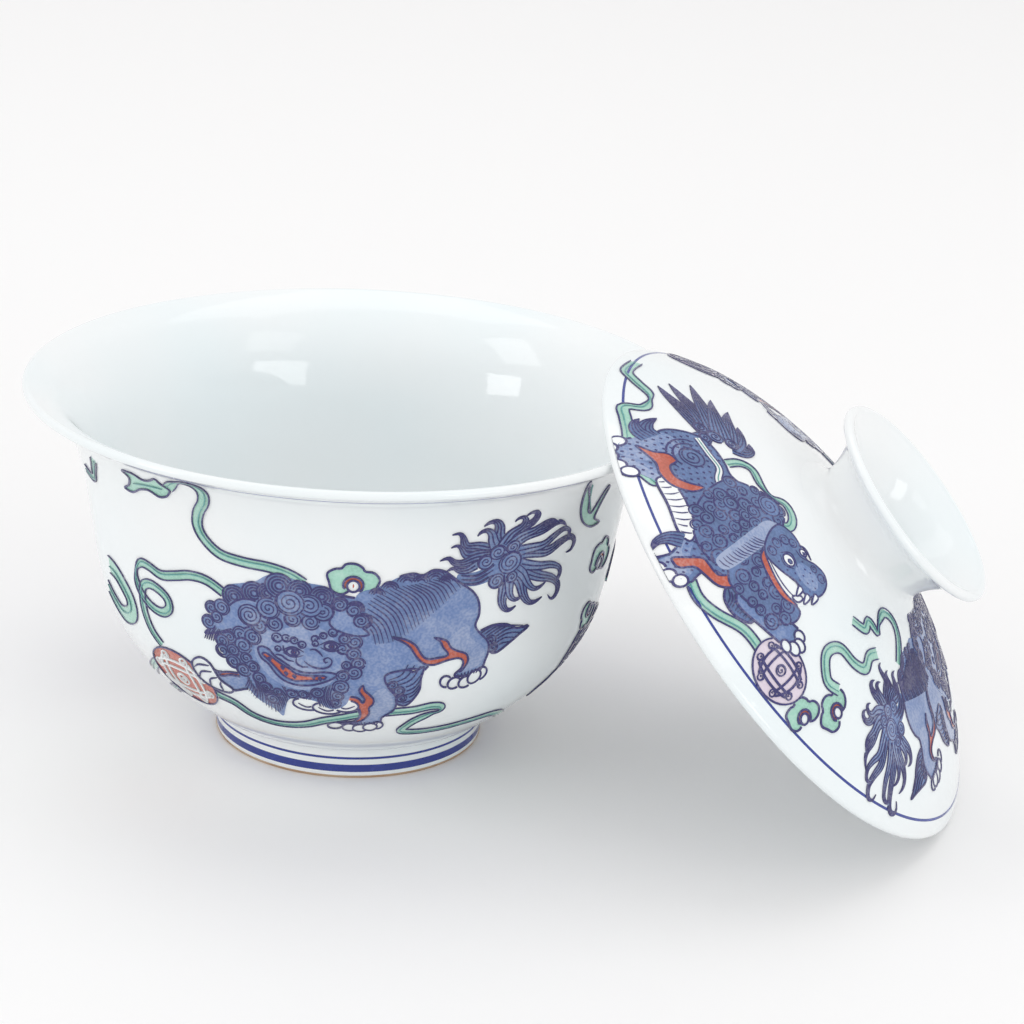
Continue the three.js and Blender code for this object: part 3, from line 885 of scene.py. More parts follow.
def striding_lion():
    """A darker, spotted guardian lion in profile, with a leaf-shaped tail. It walks to the right."""
    lion = Sheet()
    # the tail
    locks = [
        [(-28, -11.5), (-32, -9.5), (-36, -7), (-38, -5)],
        [(-24.8, -10.4), (-23.2, -9.6), (-22.3, -8), (-23, -6.6)],
        [(-27.6, -11), (-31.5, -7.5), (-35, -4.6), (-37, -2.5)],
        [(-25, -10), (-24.6, -7.6), (-25, -5.4), (-25.7, -4)],
        [(-27, -10.6), (-30, -6.6), (-32.6, -2.6), (-34.5, 1)],
        [(-25.6, -10.2), (-26.6, -6.6), (-27.6, -3.4), (-28, -1)],
        [(-26.4, -10.4), (-28.6, -6.4), (-30.2, -3), (-31, -0.5)],
    ]
    for points in locks:
        lion.lock(points, 3.6, lines=6, tone=0.34)
    lion.lock([(-28.9, -14.2), (-28.4, -12.6), (-27.4, -11)], 3.0, lines=4, tone=0.4)
    curls(lion, [(-30, -11, 1.1), (-25, -10, 1.1), (-27.5, -11, 1.3), (-28.6, -12.9, 0.9)], fill="wash")

    # the far foreleg, then the body with its hind leg and near foreleg
    lion.fill("wash", loop([(-12.3, -35.6), (-11.6, -37.2), (-9.6, -38), (-7.6, -37.8), (-6.2, -36.9),
                            (-7.4, -35.6), (-10, -35)], 4), 0.2, edge="line")
    lion.hatch([(-12, -35.8), (-7, -35.6)], [(-10.6, -37.6), (-6.8, -37.2)], 9, 0.15)
    lion.fill("wash", loop([(-11, -32.4), (-6.4, -33.2), (-2.3, -31.9), (0.2, -31.7), (0.6, -34.9),
                            (-5, -36.3), (-10, -36.4)], 4), 0.5, edge="line")
    toes(lion, [(0.3, -32.2, 1.0, 0.9, 0.1), (1.2, -33.2, 1.1, 0.9, 0), (0.9, -34.3, 1.1, 0.9, -0.1),
                (-0.3, -35.2, 1.0, 0.8, -0.2)])
    body = [(-34.5, -19.5), (-33.6, -16.6), (-31.2, -14.4), (-28.6, -13.5), (-26.2, -14.4), (-24, -16),
            (-22.2, -17.6), (-18, -18), (-12, -22), (-10, -30), (-12, -34), (-15.8, -35.2), (-16.4, -37.2),
            (-16.8, -38.8), (-22.2, -38.8), (-21.2, -36.8), (-21.6, -34.4), (-23.4, -32.2), (-26.2, -29.8),
            (-28.8, -27.6), (-31, -27), (-32.6, -27.4), (-35, -27.2), (-37, -25.4), (-37.2, -23.2),
            (-36, -21.4)]
    lion.fill("wash", loop(body, 4), 0.26, edge="line")
    for tone, belly in ((0.62, [(-34, -25), (-30, -25.4), (-26.4, -26.8), (-22.6, -29.6), (-20.4, -32),
                                (-19.4, -35), (-17.4, -36.6), (-17.6, -38.4), (-21.6, -38.4),
                                (-20.8, -36.6), (-21.2, -34.4), (-23.6, -31.8), (-26.4, -29.4),
                                (-29, -27.4), (-33, -27.2), (-36, -26)]),
                        (0.9, [(-35, -25.6), (-30, -26.2), (-26.6, -27.8), (-23, -30.6), (-21.2, -32.6),
                               (-20.4, -35.4), (-18, -37.4), (-18, -38.6), (-21.4, -38.6), (-20.9, -36.6),
                               (-21.4, -34.4), (-23.6, -31.9), (-26.4, -29.6), (-29, -27.6),
                               (-33, -27.3)])):
        lion.fill("wash", loop(belly, 4), tone)
    lion.fill("wash", loop([(-35, -20), (-33.6, -17.6), (-31, -17.6), (-30, -20), (-31, -23), (-33, -25),
                            (-36, -25), (-36.6, -22.6)], 4), 0.7)
    spots = np.array([(x + (0.6 if k % 2 else 0), y) for k, y in enumerate(np.arange(-38, -14, 0.95))
                      for x in np.arange(-37, -12, 1.25)])
    for x, y in spots[inside(spots, np.array(body, float) * (0.97, 0.97) + (-0.8, -0.7))]:
        lion.stroke([(x, y), (x + 0.36, y + 0.1)], 0.24, taper=0)
    lion.ribbon([(-29.4, -14.2), (-26.8, -16.2), (-24.3, -17.8), (-23.4, -20.3), (-21.4, -22.5)], 1.1,
                lines=(0,), colour="white", tone=1.0)
    lion.curl(-28.2, -19.2, 1.9, 2.2, 0.6)
    for reach in (2.8, 3.7):
        lion.stroke([(-28.2 + reach * math.cos(a),
                      -19.2 + reach * math.sin(a)) for a in np.linspace(1.9, 4.6, 12)])
    plates = [(-28.8, -26.0), (-26, -27.2), (-23.4, -29.2), (-21.2, -31.2), (-20.4, -33.5), (-22.6, -33.2),
              (-26.2, -30.2), (-29.6, -27.4)]
    lion.fill("white", loop(plates, 4), 1.0, edge="line")
    lion.hatch([(-28.4, -26.2), (-24, -28.6), (-20.8, -32)], [(-29.2, -27.4), (-26, -30.2), (-22.4, -33)],
               9, 0.1)
    lion.lock([(-34, -19.2), (-35.4, -18.4), (-35.8, -16.6), (-35.3, -14.6)], 2.6, lines=5, tone=0.2)
    lion.lock([(-34.4, -20), (-36, -19.4), (-37, -18), (-37, -16.4)], 2.4, lines=5, tone=0.2)
    lion.lock([(-21.2, -34), (-22.8, -34.8), (-23.6, -36.2), (-23.2, -37.6)], 2.4, lines=5, tone=0.2)
    toes(lion, [(-37, -22.9, 1.0, 1.0, 0), (-37.3, -24.6, 1.1, 1.0, 0), (-36.4, -26.2, 1.1, 1.0, 0.4),
                (-34.8, -27.3, 1.1, 1.0, 0.2), (-32.9, -27.7, 1.1, 0.9, 0)])
    toes(lion, [(-22.3, -39.0, 0.9, 0.9, 0), (-20.9, -39.3, 1.0, 0.95, 0), (-19.2, -39.4, 1.0, 0.95, 0),
                (-17.5, -39.1, 0.95, 0.9, 0)])
    for flame in (
        [(-34.9, -22.6), (-32.6, -22.4), (-31, -21.4), (-29.4, -21.9), (-29.6, -23.6), (-28, -25),
         (-26, -24.6), (-24.1, -23.6), (-25, -25.8), (-27.6, -26.8), (-30, -25.8), (-31.4, -24.2)],
        [(-20.6, -37.2), (-19.1, -35.8), (-17.6, -34.6), (-16.4, -34.8), (-14.5, -35.2), (-13.2, -34),
         (-11.4, -32.9), (-11.4, -34.6), (-13.2, -36.4), (-16, -36.4), (-17.6, -36.4), (-19, -37.8)],
    ):
        lion.fill("red", loop(flame, 3), 0.5, edge="line")

    # the mane and the beard, with rows of round curls
    mane = [(-23, -20.4), (-21.4, -18), (-18.6, -16.4), (-15.2, -15.2), (-12.6, -17), (-12, -20.4),
            (-13, -24.4), (-13.4, -28), (-14.4, -33.4), (-18, -33.8), (-21, -32), (-22.8, -29),
            (-23.6, -25)]
    beard = [(-13, -26.6), (-8.6, -29.6), (-4.6, -29.6), (-2.2, -29), (-1.6, -31), (-2.6, -33),
             (-4.4, -34.6), (-7.4, -35), (-10.4, -35.2), (-13, -34.6), (-14.8, -31)]
    for outline in (mane, beard):
        lion.fill("wash", loop(outline, 4), 0.2, edge="line")
        rows = enumerate(np.arange(-34.4, -16, 1.95))
        spots = np.array([(x + (1.1 if k % 2 else 0) + 0.35 * math.sin(5 * y + x),
                           y + 0.3 * math.sin(3 * x + k))
                          for k, y in rows for x in np.arange(-24, -1, 2.2)])
        spots = spots[inside(spots, np.array(outline))]
        curls(lion, [(x, y, 1.0 + 0.22 * math.sin(7 * x + 4 * y)) for x, y in spots], turns=1.8)
    lion.curl(-15.4, -17.4, 1.9, 2.4, fill="wash", tone=0.34)
    ear = [(-12.4, -19.4), (-11.4, -20.8), (-12.2, -24), (-12.8, -28), (-14, -33.6), (-16.2, -33.4),
           (-15.8, -29), (-15.2, -24.6), (-14.4, -20.6)]
    lion.fill("wash", loop(ear, 4), 0.9)
    lion.hatch([(-12.2, -24), (-12.8, -28), (-14, -33)], [(-14.4, -25.4), (-15, -29.4), (-15.8, -33.2)], 13,
               0.1)

    # the head: the mouth open wide over the curls of the beard
    lion.fill("white", loop([(-11.4, -26.2), (-6, -26.2), (-1.9, -26.0), (-2.4, -28.2), (-3.4, -29.2),
                             (-5.5, -29.3), (-8.2, -28.6)], 4), 1.0)
    lion.fill("red", loop([(-12, -25.6), (-11.2, -26.6), (-8.2, -28.3), (-5.5, -29.0), (-2.8, -28.8),
                           (-5.4, -30), (-8.6, -29.3), (-11.6, -27.6)], 4), 0.5, edge="line")
    lion.stroke(smooth([(-10.4, -26.7), (-7.8, -27.8), (-5.6, -28.2), (-3.6, -28)]), 0.2)
    lion.fill("white", loop([(-4.4, -28.4), (-3.2, -28.3), (-2.9, -27.0), (-3.6, -27.0)], 3), 1.0,
              edge="line")
    head = [(-12.7, -19.4), (-10.4, -18.6), (-8.4, -19.2), (-6.2, -20.4), (-4.6, -19.7), (-2.6, -19.6),
            (-1.3, -21.0), (-1.1, -23.4), (-2.1, -25.2), (-3.4, -26.0), (-5.4, -25.6), (-8, -26.4),
            (-11.5, -26.3), (-12.9, -23)]
    lion.fill("wash", loop(head, 4), 0.24, edge="line")
    for x, y in ((-1.6, -24.8), (-2.6, -26.2), (-4.2, -26.3)):
        lion.fill("white", loop([(x - 0.45, y + 0.5), (x + 0.5, y + 0.5), (x + 0.3, y - 1.4)], 3), 1.0,
                  edge="line")
    lion.fill("wash", loop([(-6.6, -22), (-4.4, -21.2), (-2.6, -22), (-2.2, -23.8), (-4, -24.6),
                            (-6.4, -24.2)], 4), 0.62)
    for x, y, size in ((-8.2, -23.6, 0.95), (-7.2, -20.0, 0.6)):
        eye = oval(x, y, size * 1.15, size, 16)
        lion.fill("white", eye, 1.0, edge="line")
        lion.fill("wash", oval(x + size * 0.3, y, size * 0.42, size * 0.42, 10), 0.05, edge="line")
        lion.stroke(smooth([(x - 1.7, y - 0.2), (x - 0.3, y + size + 0.5), (x + 1.7, y + 0.3)]), 0.3)
        lion.stroke(smooth([(x - 1.5, y - 0.6), (x, y - size - 0.45), (x + 1.5, y - 0.4)]), 0.22)
    curls(lion, [(-10.6, -21.0, 0.85), (-9.3, -20.2, 0.75), (-11.2, -22.8, 0.85), (-11.0, -24.8, 0.8),
                 (-2.6, -20.8, 0.75), (-4.4, -20.7, 0.6)], turns=1.6)
    for x, y in ((-6.6, -21.6), (-5.6, -22.4), (-4.6, -22.0), (-3.6, -22.8), (-5.2, -23.6), (-4.0, -24.0),
                 (-6.4, -24.6), (-7.6, -25.4), (-9.4, -25.5), (-5.2, -24.9), (-2.6, -23.4), (-3.0, -24.8)):
        lion.stroke([(x, y), (x + 0.3, y + 0.1)], 0.26, taper=0)
    return lion


def turned_by(angle, move=(0.0, 0.0), size=1.0, mirror=False):
    """A move for Sheet.add: mirrors across the vertical, scales, turns by degrees, then shifts."""
    c, s = math.cos(math.radians(angle)) * size, math.sin(math.radians(angle)) * size

    def at(points):
        x, y = np.array(points, float).T
        x = -x if mirror else x
        return np.stack([x * c - y * s + move[0], x * s + y * c + move[1]], 1)

    return at


def bowl_sheet():
    """The band round the bowl: a facing lion and two striding ones among ribbons and brocade balls."""
    side = Sheet()
    side.ribbon([(-41, 30), (-38, 33), (-34, 34), (-31, 37), (-33, 41), (-37, 43), (-36, 47), (-32, 49)],
                1.7, pinch=(0.5,))
    side.ribbon([(-16, 46), (-11, 49), (-6, 47), (-3, 43), (1, 42), (4, 46), (8, 48), (12, 46)], 1.6,
                pinch=(0.45,))
    side.ribbon([(-30, 14), (-24, 10), (-17, 11), (-10, 9), (-4, 10), (3, 13)], 1.7, pinch=(0.4,))
    cloud_knot(side, 9, 40, 1.1, 0.3)
    cloud_knot(side, -24, 52, 1.0, -0.2)
    ball(side, 9, 15, 7.0, 6.0, "lilac", "line")
    side.add(striding_lion(), turned_by(0, (10, 57), 1.18))

    band = Sheet()
    band.ribbon([(-7, 41), (-9, 42.2), (-12, 43), (-16, 43.2), (-19.5, 43.8), (-21.8, 45.8), (-22.6, 48),
                 (-22, 50.5), (-20.6, 53), (-20, 55.5), (-20.6, 57.3), (-22.2, 57.6), (-24, 56.3),
                 (-25.8, 54.3)], 1.6, pinch=(0.88,))
    blade(band, [(-25.6, 54), (-26.8, 55), (-27.2, 56), (-28.8, 54.8), (-30.3, 54.4), (-31.6, 55.2),
                 (-33.9, 54.9), (-33.2, 53.6), (-34.3, 51.6), (-35.8, 50.5), (-34, 50.3), (-32, 51.6),
                 (-30, 52.2), (-28.4, 51.5), (-27, 52), (-26.2, 52.8)],
          ([(-27, 53.6), (-30, 53.2), (-33, 52.4)],))
    band.ribbon([(-19, 37), (-22, 38.6), (-25, 38.7), (-28, 37.8), (-31, 37), (-33.5, 37.6), (-35.5, 37.6),
                 (-37, 36), (-37.2, 33.8), (-36.2, 32), (-34, 30.6), (-31.6, 30.4), (-30, 31.6),
                 (-30.2, 33.2), (-31.8, 34.2), (-34, 34.5), (-35.8, 33.5), (-36.3, 31), (-36.2, 28.5),
                 (-35.3, 26), (-33.5, 24)], 1.5, pinch=(0.4,))
    band.ribbon([(-34, 18), (-37, 19), (-42, 16), (-47, 12.5), (-52, 10.5)], 1.8)
    band.ribbon([(-34, 14), (-36, 13), (-42, 10.5), (-46, 7.5)], 1.6)
    band.ribbon([(-27, 17.5), (-24, 16.5), (-21, 15.5), (-18.5, 13), (-15.5, 11.7), (-12, 11.5), (-8, 12.5),
                 (-4.5, 14.3), (-1, 15.6), (2, 16.6), (7.5, 17.2), (11, 17.4), (14, 18), (16, 17.6),
                 (16.2, 16.4), (14.4, 15.8), (12, 14.2), (10.6, 12.2), (10.2, 11), (11.5, 10.2), (15, 9.8),
                 (20, 10), (25, 10.6), (30, 10.8), (34, 9.5), (38, 7), (43, 4), (47, 1.5)], 1.8,
                pinch=(0.5,))
    band.ribbon([(-47, 33.2), (-44.5, 33), (-42.3, 31.8), (-40.4, 29.8), (-40.4, 27.6), (-42, 26.2),
                 (-44.5, 25.6), (-47, 26.6), (-50, 28.3)], 3.0)
    band.ribbon([(-50, 48.5), (-46.5, 48), (-45, 50), (-42.5, 53)], 1.3)
    cloud_knot(band, 0, 42, 1.0)
    blade(band, [(32.3, 57.2), (34.2, 54), (36.3, 51), (37.2, 48.8), (38.3, 48), (39.3, 50), (39.8, 52.8),
                 (40.6, 51.5), (40.2, 48.5), (39.9, 46.5), (42, 45.2), (39.6, 45.1), (37, 46.6), (35.3, 49),
                 (33.8, 53)],
          ([(34, 55.4), (36, 51.6), (38, 48.4)],))
    cloud_knot(band, 46.6, 37.6, 1.1, -0.3)
    ball(band, -31.5, 17.5, 7.2, 6.2, "red", "white")
    for turn in (97, -85):
        band.add(side, turned_by(0, (turn, 0)))
    cloud_knot(band, 48, 12.6, 1.2, 0.3)
    ball(band, 51, 21, 6.4, 6.4, "lilac", "line")
    cloud_knot(band, 47, 27.4, 0.9, 2.6)
    band.ribbon([(112, 30), (116, 33), (120, 31), (121, 26), (124, 23), (128, 25), (130, 29)], 1.6,
                pinch=(0.5,))
    band.add(facing_lion(), turned_by(0))
    return band


def lid_sheet():
    """The band round the lid: two striding lions and a facing one, with balls and ribbons between."""
    part = Sheet()
    part.ribbon([(-23.9, -15.5), (-22.5, -13.2), (-20.5, -12.5), (-18.2, -14.4), (-15.9, -15),
                 (-13.6, -14.1), (-11.6, -15.5), (-11.1, -17.8), (-12.7, -19.4)], 1.5, pinch=(0.5,))
    part.ribbon([(-18.2, -37.1), (-14.5, -39.4), (-10.9, -39.6), (-6.4, -38.5), (-2.7, -38.7)], 1.4)
    part.ribbon([(-33.9, -23.5), (-30.5, -25.5), (-29.2, -27.8), (-31.5, -27.2)], 1.3)
    part.ribbon([(-42, 2), (-42.4, -3), (-40.6, -6), (-38, -9), (-37.5, -13), (-39.6, -14.6),
                 (-38.4, -17.4), (-37, -20), (-36, -22)], 1.5, pinch=(0.5,))
    ball(part, 1.6, -38.2, 4.9, 3.9, "lilac", "line")
    part.add(striding_lion(), turned_by(0))

    band = Sheet()
    band.add(part, turned_by(-118))
    cloud_knot(band, 8.6, -38.8, 0.75, 1.2)
    cloud_knot(band, 11.7, -34.0, 0.85, 1.9)
    band.ribbon([(11.8, -19.3), (11, -21.5), (11.6, -24), (9.6, -25.7), (6.5, -26.5), (5.2, -28.5),
                 (5.5, -30.5), (8, -32.5), (10.3, -31.5)], 1.7)
    band.ribbon([(16, -15), (13.5, -11.5), (11, -10.5), (8.8, -12), (9.2, -15), (10, -16.5), (7.5, -17),
                 (7.8, -19), (5.3, -20.5)], 1.5, pinch=(0.6,))
    tail_heart, new_heart = (22.8, 43.6), (21, -24.3)
    shrunk = turned_by(118, new_heart, 0.8, mirror=True)
    band.add(facing_lion(), lambda points: shrunk(np.array(points) - tail_heart))
    band.add(part, turned_by(0))
    return band


# Laying a drawing on its surface

GRID_STEP = 0.95  # between the points inside a fill, in millimetres
EDGE_STEP = 0.55  # between the points along a fill's edge, in millimetres
LEVEL_STEP = 8.0  # between the heights of films that overlap, in thousandths of a millimetre
STROKE_TONE = 0.5  # how pale a stroke's paint is, from 0 to 1
FILM_THICK = 0.012 * MM
FILM_DEPTH = 0.05 * MM
PAINT_COLOURS = ("green", "lilac", "wash", "red", "white", "line", "deep_green")


def levels_of(fills):
    """How many films each fill lies on, counting from 1, so that overlapping films never share a height."""
    boxes = [(outline.min(0), outline.max(0)) for _, outline, _ in fills]
    levels = []
    for k, (_, outline, _) in enumerate(fills):
        level = 1
        for j in range(k):
            if levels[j] < level or (boxes[j][1] < boxes[k][0]).any() or (boxes[j][0] > boxes[k][1]).any():
                continue
            if inside(outline, fills[j][1]).any() or inside(fills[j][1], outline).any():
                level = levels[j] + 1
        levels.append(level)
    return levels


def filled(outline):
    """Triangles that fill an outline, with points inside so that they can bend with the surface."""
    low, high = outline.min(0), outline.max(0)
    columns, up = (np.arange(low[i] + GRID_STEP / 2, high[i], GRID_STEP) for i in (0, 1))
    grid = np.array([(a, b) for a in columns for b in up])
    if len(grid):
        grid = grid[inside(grid, outline)]
    if len(grid):
        near = np.linalg.norm(grid[:, None] - outline[None], axis=2).min(1)
        grid = grid[near > GRID_STEP * 0.4]
    points = [Vector(p) for p in [*outline, *grid]]
    points, _, triangles, *_ = delaunay_2d_cdt(points, [], [list(range(len(outline)))], 1, 1e-5)
    return points, [t[:] if triangle_area(points, t) > 0 else t[::-1] for t in triangles]


def triangle_area(points, triangle):
    a, b, c = (points[k] for k in triangle)
    return ((b.x - a.x) * (c.y - a.y) - (b.y - a.y) * (c.x - a.x)) / 2


def paint(name, sheet, surface, materials, body):
    """Makes one piece for each colour of a drawing, laid on a turned surface."""
    levels = levels_of(sheet.fills)
    top = max(levels, default=0) + 1
    for colour in PAINT_COLOURS:
        points, faces, tones, orders = [], [], [], []
        for (shade, outline, tone), level in zip(sheet.fills, levels):
            if shade != colour:
                continue
            spots, triangles = filled(evenly([*outline, outline[0]], EDGE_STEP)[:-1])
            faces += [[i + len(points) for i in t] for t in triangles]
            points += [(x * MM, y * MM, 0) for x, y in spots]
            tones += [tone] * len(spots)
            orders += [level * LEVEL_STEP] * len(spots)
        base = bpy.data.meshes.new(f"{name}_{colour}_flat")
        base.from_pydata(points, [], faces)
        for label, values in (("tone", tones), ("order", orders)):
            base.attributes.new(label, "FLOAT", "POINT").data.foreach_set("value", values)
        routes = bpy.data.meshes.new(f"{name}_{colour}_routes")
        points, edges, halves = [], [], []
        strokes = [(line, half) for shade, line, half in sheet.strokes if shade == colour]
        for line, half in strokes:
            edges += [(len(points) + k, len(points) + k + 1) for k in range(len(line) - 1)]
            points += [(x * MM, y * MM, 0) for x, y in line]
            halves += [h * MM for h in half]
        if not points and not faces:
            continue
        routes.from_pydata(points, edges, [])
        tones, orders = ([value] * len(points) for value in (STROKE_TONE, top * LEVEL_STEP))
        for label, values in (("half_width", halves), ("tone", tones), ("order", orders)):
            routes.attributes.new(label, "FLOAT", "POINT").data.foreach_set("value", values)
        brush = bpy.data.objects.new(f"{name}_{colour}_strokes", routes)
        inputs = {"Strokes": brush, "Thickness": FILM_THICK, "Depth": FILM_DEPTH,
                  "Material": materials[colour], **surface}
        piece = run_tree(f"{name}_{colour}", shared_tree("Painted film", painted_tree), base, inputs)
        bpy.data.objects.remove(brush)
        keep(piece, body, PAINT_SLOTS[colour])


PAINT_SLOTS = {
    "green": "green_enamel", "deep_green": "green_enamel", "lilac": "lilac_enamel", "wash": "cobalt_wash",
    "red": "red_enamel", "white": "porcelain_glaze", "line": "cobalt_line",
}


def keep(piece, body, slot, *nodes):
    """Ties a finished piece to its body and hides the CAD nodes that it stands for. The slot is not used."""
    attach(piece, body)
    if nodes:
        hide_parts(*nodes)


def guide_line(name, line, by_radius):
    """The guide that paint is laid by: length along a surface's outline, or distance from its axis."""
    line = np.array(line, float)
    facing = across(line) * (1 if by_radius else -1)
    reach = line[:, 0] if by_radius else lengths_along(line)
    place = np.stack([line[:, 0], np.zeros(len(line)), line[:, 1]], 1) * MM
    facing = np.stack([facing[:, 0], np.zeros(len(line)), facing[:, 1]], 1)
    return line_object(name, [(r * MM, 0, 0) for r in reach], {"place": place, "facing": facing})


def band_profile(line, middle, width, thick=0.02, depth=0.1):
    """A thin painted ring's section: a stretch of a surface's outline, with some thickness out and in."""
    line = np.array(line, float)
    wanted = np.linspace(middle - width / 2, middle + width / 2, 5)
    strip = np.stack([np.interp(wanted, lengths_along(line), line[:, i]) for i in (0, 1)], 1)
    left = across(strip)
    outer, inner = strip - left * thick, strip + left * depth
    section = [*outer, *inner[::-1], outer[0]]
    return [tuple(p) for p in section]


def length_at(line, height=None, radius=None):
    """How far along an outline it first reaches a height, or a distance from the axis."""
    line = np.array(line, float)
    column, wanted = (0, radius) if height is None else (1, height)
    order = np.argsort(line[:, column])
    return float(np.interp(wanted, line[order, column], lengths_along(line)[order]))


# What a user would change

def colour(name, description, default):
    return bpy.props.FloatVectorProperty(name=name, description=description, subtype="COLOR", size=3, min=0,
                                         max=1, default=default)


def length(name, description, default):
    return bpy.props.FloatProperty(name=name, description=description, default=default * MM, min=0,
                                   unit="LENGTH", precision=4)


class GaiwanSizes(bpy.types.PropertyGroup):
    lip_wall: length("Lip wall", "Thickness of the bowl's lip", 1.4)
    foot_wall: length("Foot wall", "Thickness of the bowl's wall near its foot", 3.0)
    rim_wall: length("Rim wall", "Thickness of the lid's rim", 1.5)
    knob_wall: length("Knob wall", "Thickness of the knob's lip", 1.6)
    foot_line: length("Foot line", "Width of the broad blue line round the foot", 1.3)
    fine_line: length("Fine line", "Width of the fine blue lines", 0.42)


class GaiwanColours(bpy.types.PropertyGroup):
    porcelain: colour("Porcelain", "White clay under its clear glaze", (0.885, 0.903, 0.907))
    clay: colour("Bare clay", "Unglazed band under the foot", (0.62, 0.50, 0.38))
    line: colour("Line blue", "Dark cobalt of the outlines", (0.045, 0.042, 0.17))
    ring: colour("Ring blue", "Bright cobalt of the lines round the foot and the lid", (0.055, 0.085, 0.43))
    pale_ring: colour("Pale ring blue", "Thin cobalt of the line under the lip", (0.30, 0.33, 0.66))
    wash: colour("Wash blue", "Cobalt wash on the lions", (0.145, 0.225, 0.45))
    green: colour("Green", "Green enamel of the ribbons", (0.36, 0.64, 0.53))
    deep_green: colour("Deep green", "Shading lines on the ribbons", (0.13, 0.38, 0.37))
    red: colour("Iron red", "Red enamel of the flames and the ball", (0.50, 0.11, 0.07))
    lilac: colour("Lilac", "Lilac enamel of the second ball", (0.66, 0.55, 0.67))


class GaiwanStage(bpy.types.PropertyGroup):
    lens: bpy.props.FloatProperty(name="Lens", description="Focal length of the camera in millimetres",
                                  default=105.47, min=10)
    key: bpy.props.FloatProperty(name="Key light", description="Power of each large soft light",
                                 default=1.1, min=0, unit="POWER")
    fill: bpy.props.FloatProperty(name="Fill", description="Brightness of the surroundings", default=0.87,
                                  min=0)


def finishes(scene):
    """Each finish once, by name."""
    tints = scene.gaiwan_colours
    looks = {"porcelain": porcelain_look, "clay": clay_look, "white": porcelain_look}
    found = {}
    for name in ("porcelain", "clay", "line", "ring", "pale_ring", "wash", "green", "deep_green", "red",
                 "lilac", "white"):
        label = "gaiwan_" + name
        tint = tints.porcelain if name == "white" else getattr(tints, name)
        rough = 0.75 if name == "clay" else 0.06
        found[name] = bpy.data.materials.get(label) or finish(label, tint, rough,
                                                              looks.get(name, wash_look))
    return found


class Maker:
    """What every operator here shares."""

    bl_options = {"REGISTER", "UNDO"}

    def execute(self, context):
        sizes = context.scene.gaiwan_sizes
        self.make(sizes, finishes(context.scene))
        return {"FINISHED"}


class GAIWAN_OT_bowl(Maker, bpy.types.Operator):
    """Turns the flared bowl"""

    bl_idname = "gaiwan.bowl"
    bl_label = "Bowl"

    def make(self, sizes, materials):
        profile = bowl_profile(sizes.lip_wall / MM, sizes.foot_wall / MM)
        keep(turned("bowl_glazed", profile, BOWL_PLACE, materials["porcelain"]), "bowl", "porcelain_glaze",
             "bowl_body")


class GAIWAN_OT_foot(Maker, bpy.types.Operator):
    """Turns the foot ring and its bare clay band"""

    bl_idname = "gaiwan.foot"
    bl_label = "Foot ring"

    def make(self, sizes, materials):
        keep(turned("foot_glazed", foot_profile(), BOWL_PLACE, materials["porcelain"]), "bowl",
             "porcelain_glaze", "foot_ring")
        band = rounded([(18.9, -0.02), (21.35, -0.02), (21.62, 0.42), (21.3, 0.5), (18.8, 0.5),
                        (18.5, 0.42)], 0.1, 2)
        band = [(r, max(h, 0.0)) for r, h in band]
        keep(turned("foot_bare_band", [*band, band[0]], BOWL_PLACE, materials["clay"]), "bowl", "bare_clay")


class GAIWAN_OT_lid(Maker, bpy.types.Operator):
    """Turns the lid's dome"""

    bl_idname = "gaiwan.lid"
    bl_label = "Lid"

    def make(self, sizes, materials):
        profile = dome_profile(sizes.rim_wall / MM)
        keep(turned("lid_glazed", profile, LID_PLACE, materials["porcelain"]), "lid", "porcelain_glaze",
             "lid_dome")


class GAIWAN_OT_knob(Maker, bpy.types.Operator):
    """Turns the lid's cup-shaped knob"""

    bl_idname = "gaiwan.knob"
    bl_label = "Knob"

    def make(self, sizes, materials):
        profile = knob_profile(sizes.knob_wall / MM)
        keep(turned("knob_glazed", profile, LID_PLACE, materials["porcelain"], 128), "lid",
             "porcelain_glaze", "lid_knob")


class GAIWAN_OT_lines(Maker, bpy.types.Operator):
    """Draws the blue lines round the foot, the lip and the lid"""

    bl_idname = "gaiwan.lines"
    bl_label = "Blue lines"

    def make(self, sizes, materials):
        foot = [p for p in foot_profile() if p[0] >= 21.4 and p[1] >= 0.4]
        body, dome = bowl_outside(), dome_outside()
        fine, broad = sizes.fine_line / MM, sizes.foot_line / MM
        for name, line, middle, width, place, body_name, blue in (
            ("foot_line_broad", foot, length_at(foot, height=1.75), broad, BOWL_PLACE, "bowl", "ring"),
            ("foot_line_fine", foot, length_at(foot, height=3.6), fine, BOWL_PLACE, "bowl", "ring"),
            ("lip_line", body, length_at(body, height=56.3), fine * 0.8, BOWL_PLACE, "bowl", "pale_ring"),
            ("lid_line", dome[::-1], length_at(dome[::-1], radius=42.3), fine, LID_PLACE, "lid", "ring"),
        ):
            section = band_profile(line, middle, width)
            keep(turned(name, section, place, materials[blue], 240), body_name, "cobalt_line")


class GAIWAN_OT_bowl_painting(Maker, bpy.types.Operator):
    """Paints the lions, ribbons and balls round the bowl"""

    bl_idname = "gaiwan.bowl_painting"
    bl_label = "Bowl painting"

    def make(self, sizes, materials):
        guide = guide_line("bowl_guide", bowl_outside(), by_radius=False)
        surface = {"Guide": guide, "Sheet radius": SHEET_RADIUS * MM, "Sheet facing": SHEET_FACING,
                   "Disc": False, "Lean": 0.0, "Centre": BOWL_PLACE.to_translation()}
        paint("bowl_painted", bowl_sheet(), surface, materials, "bowl")
        bpy.data.objects.remove(guide)


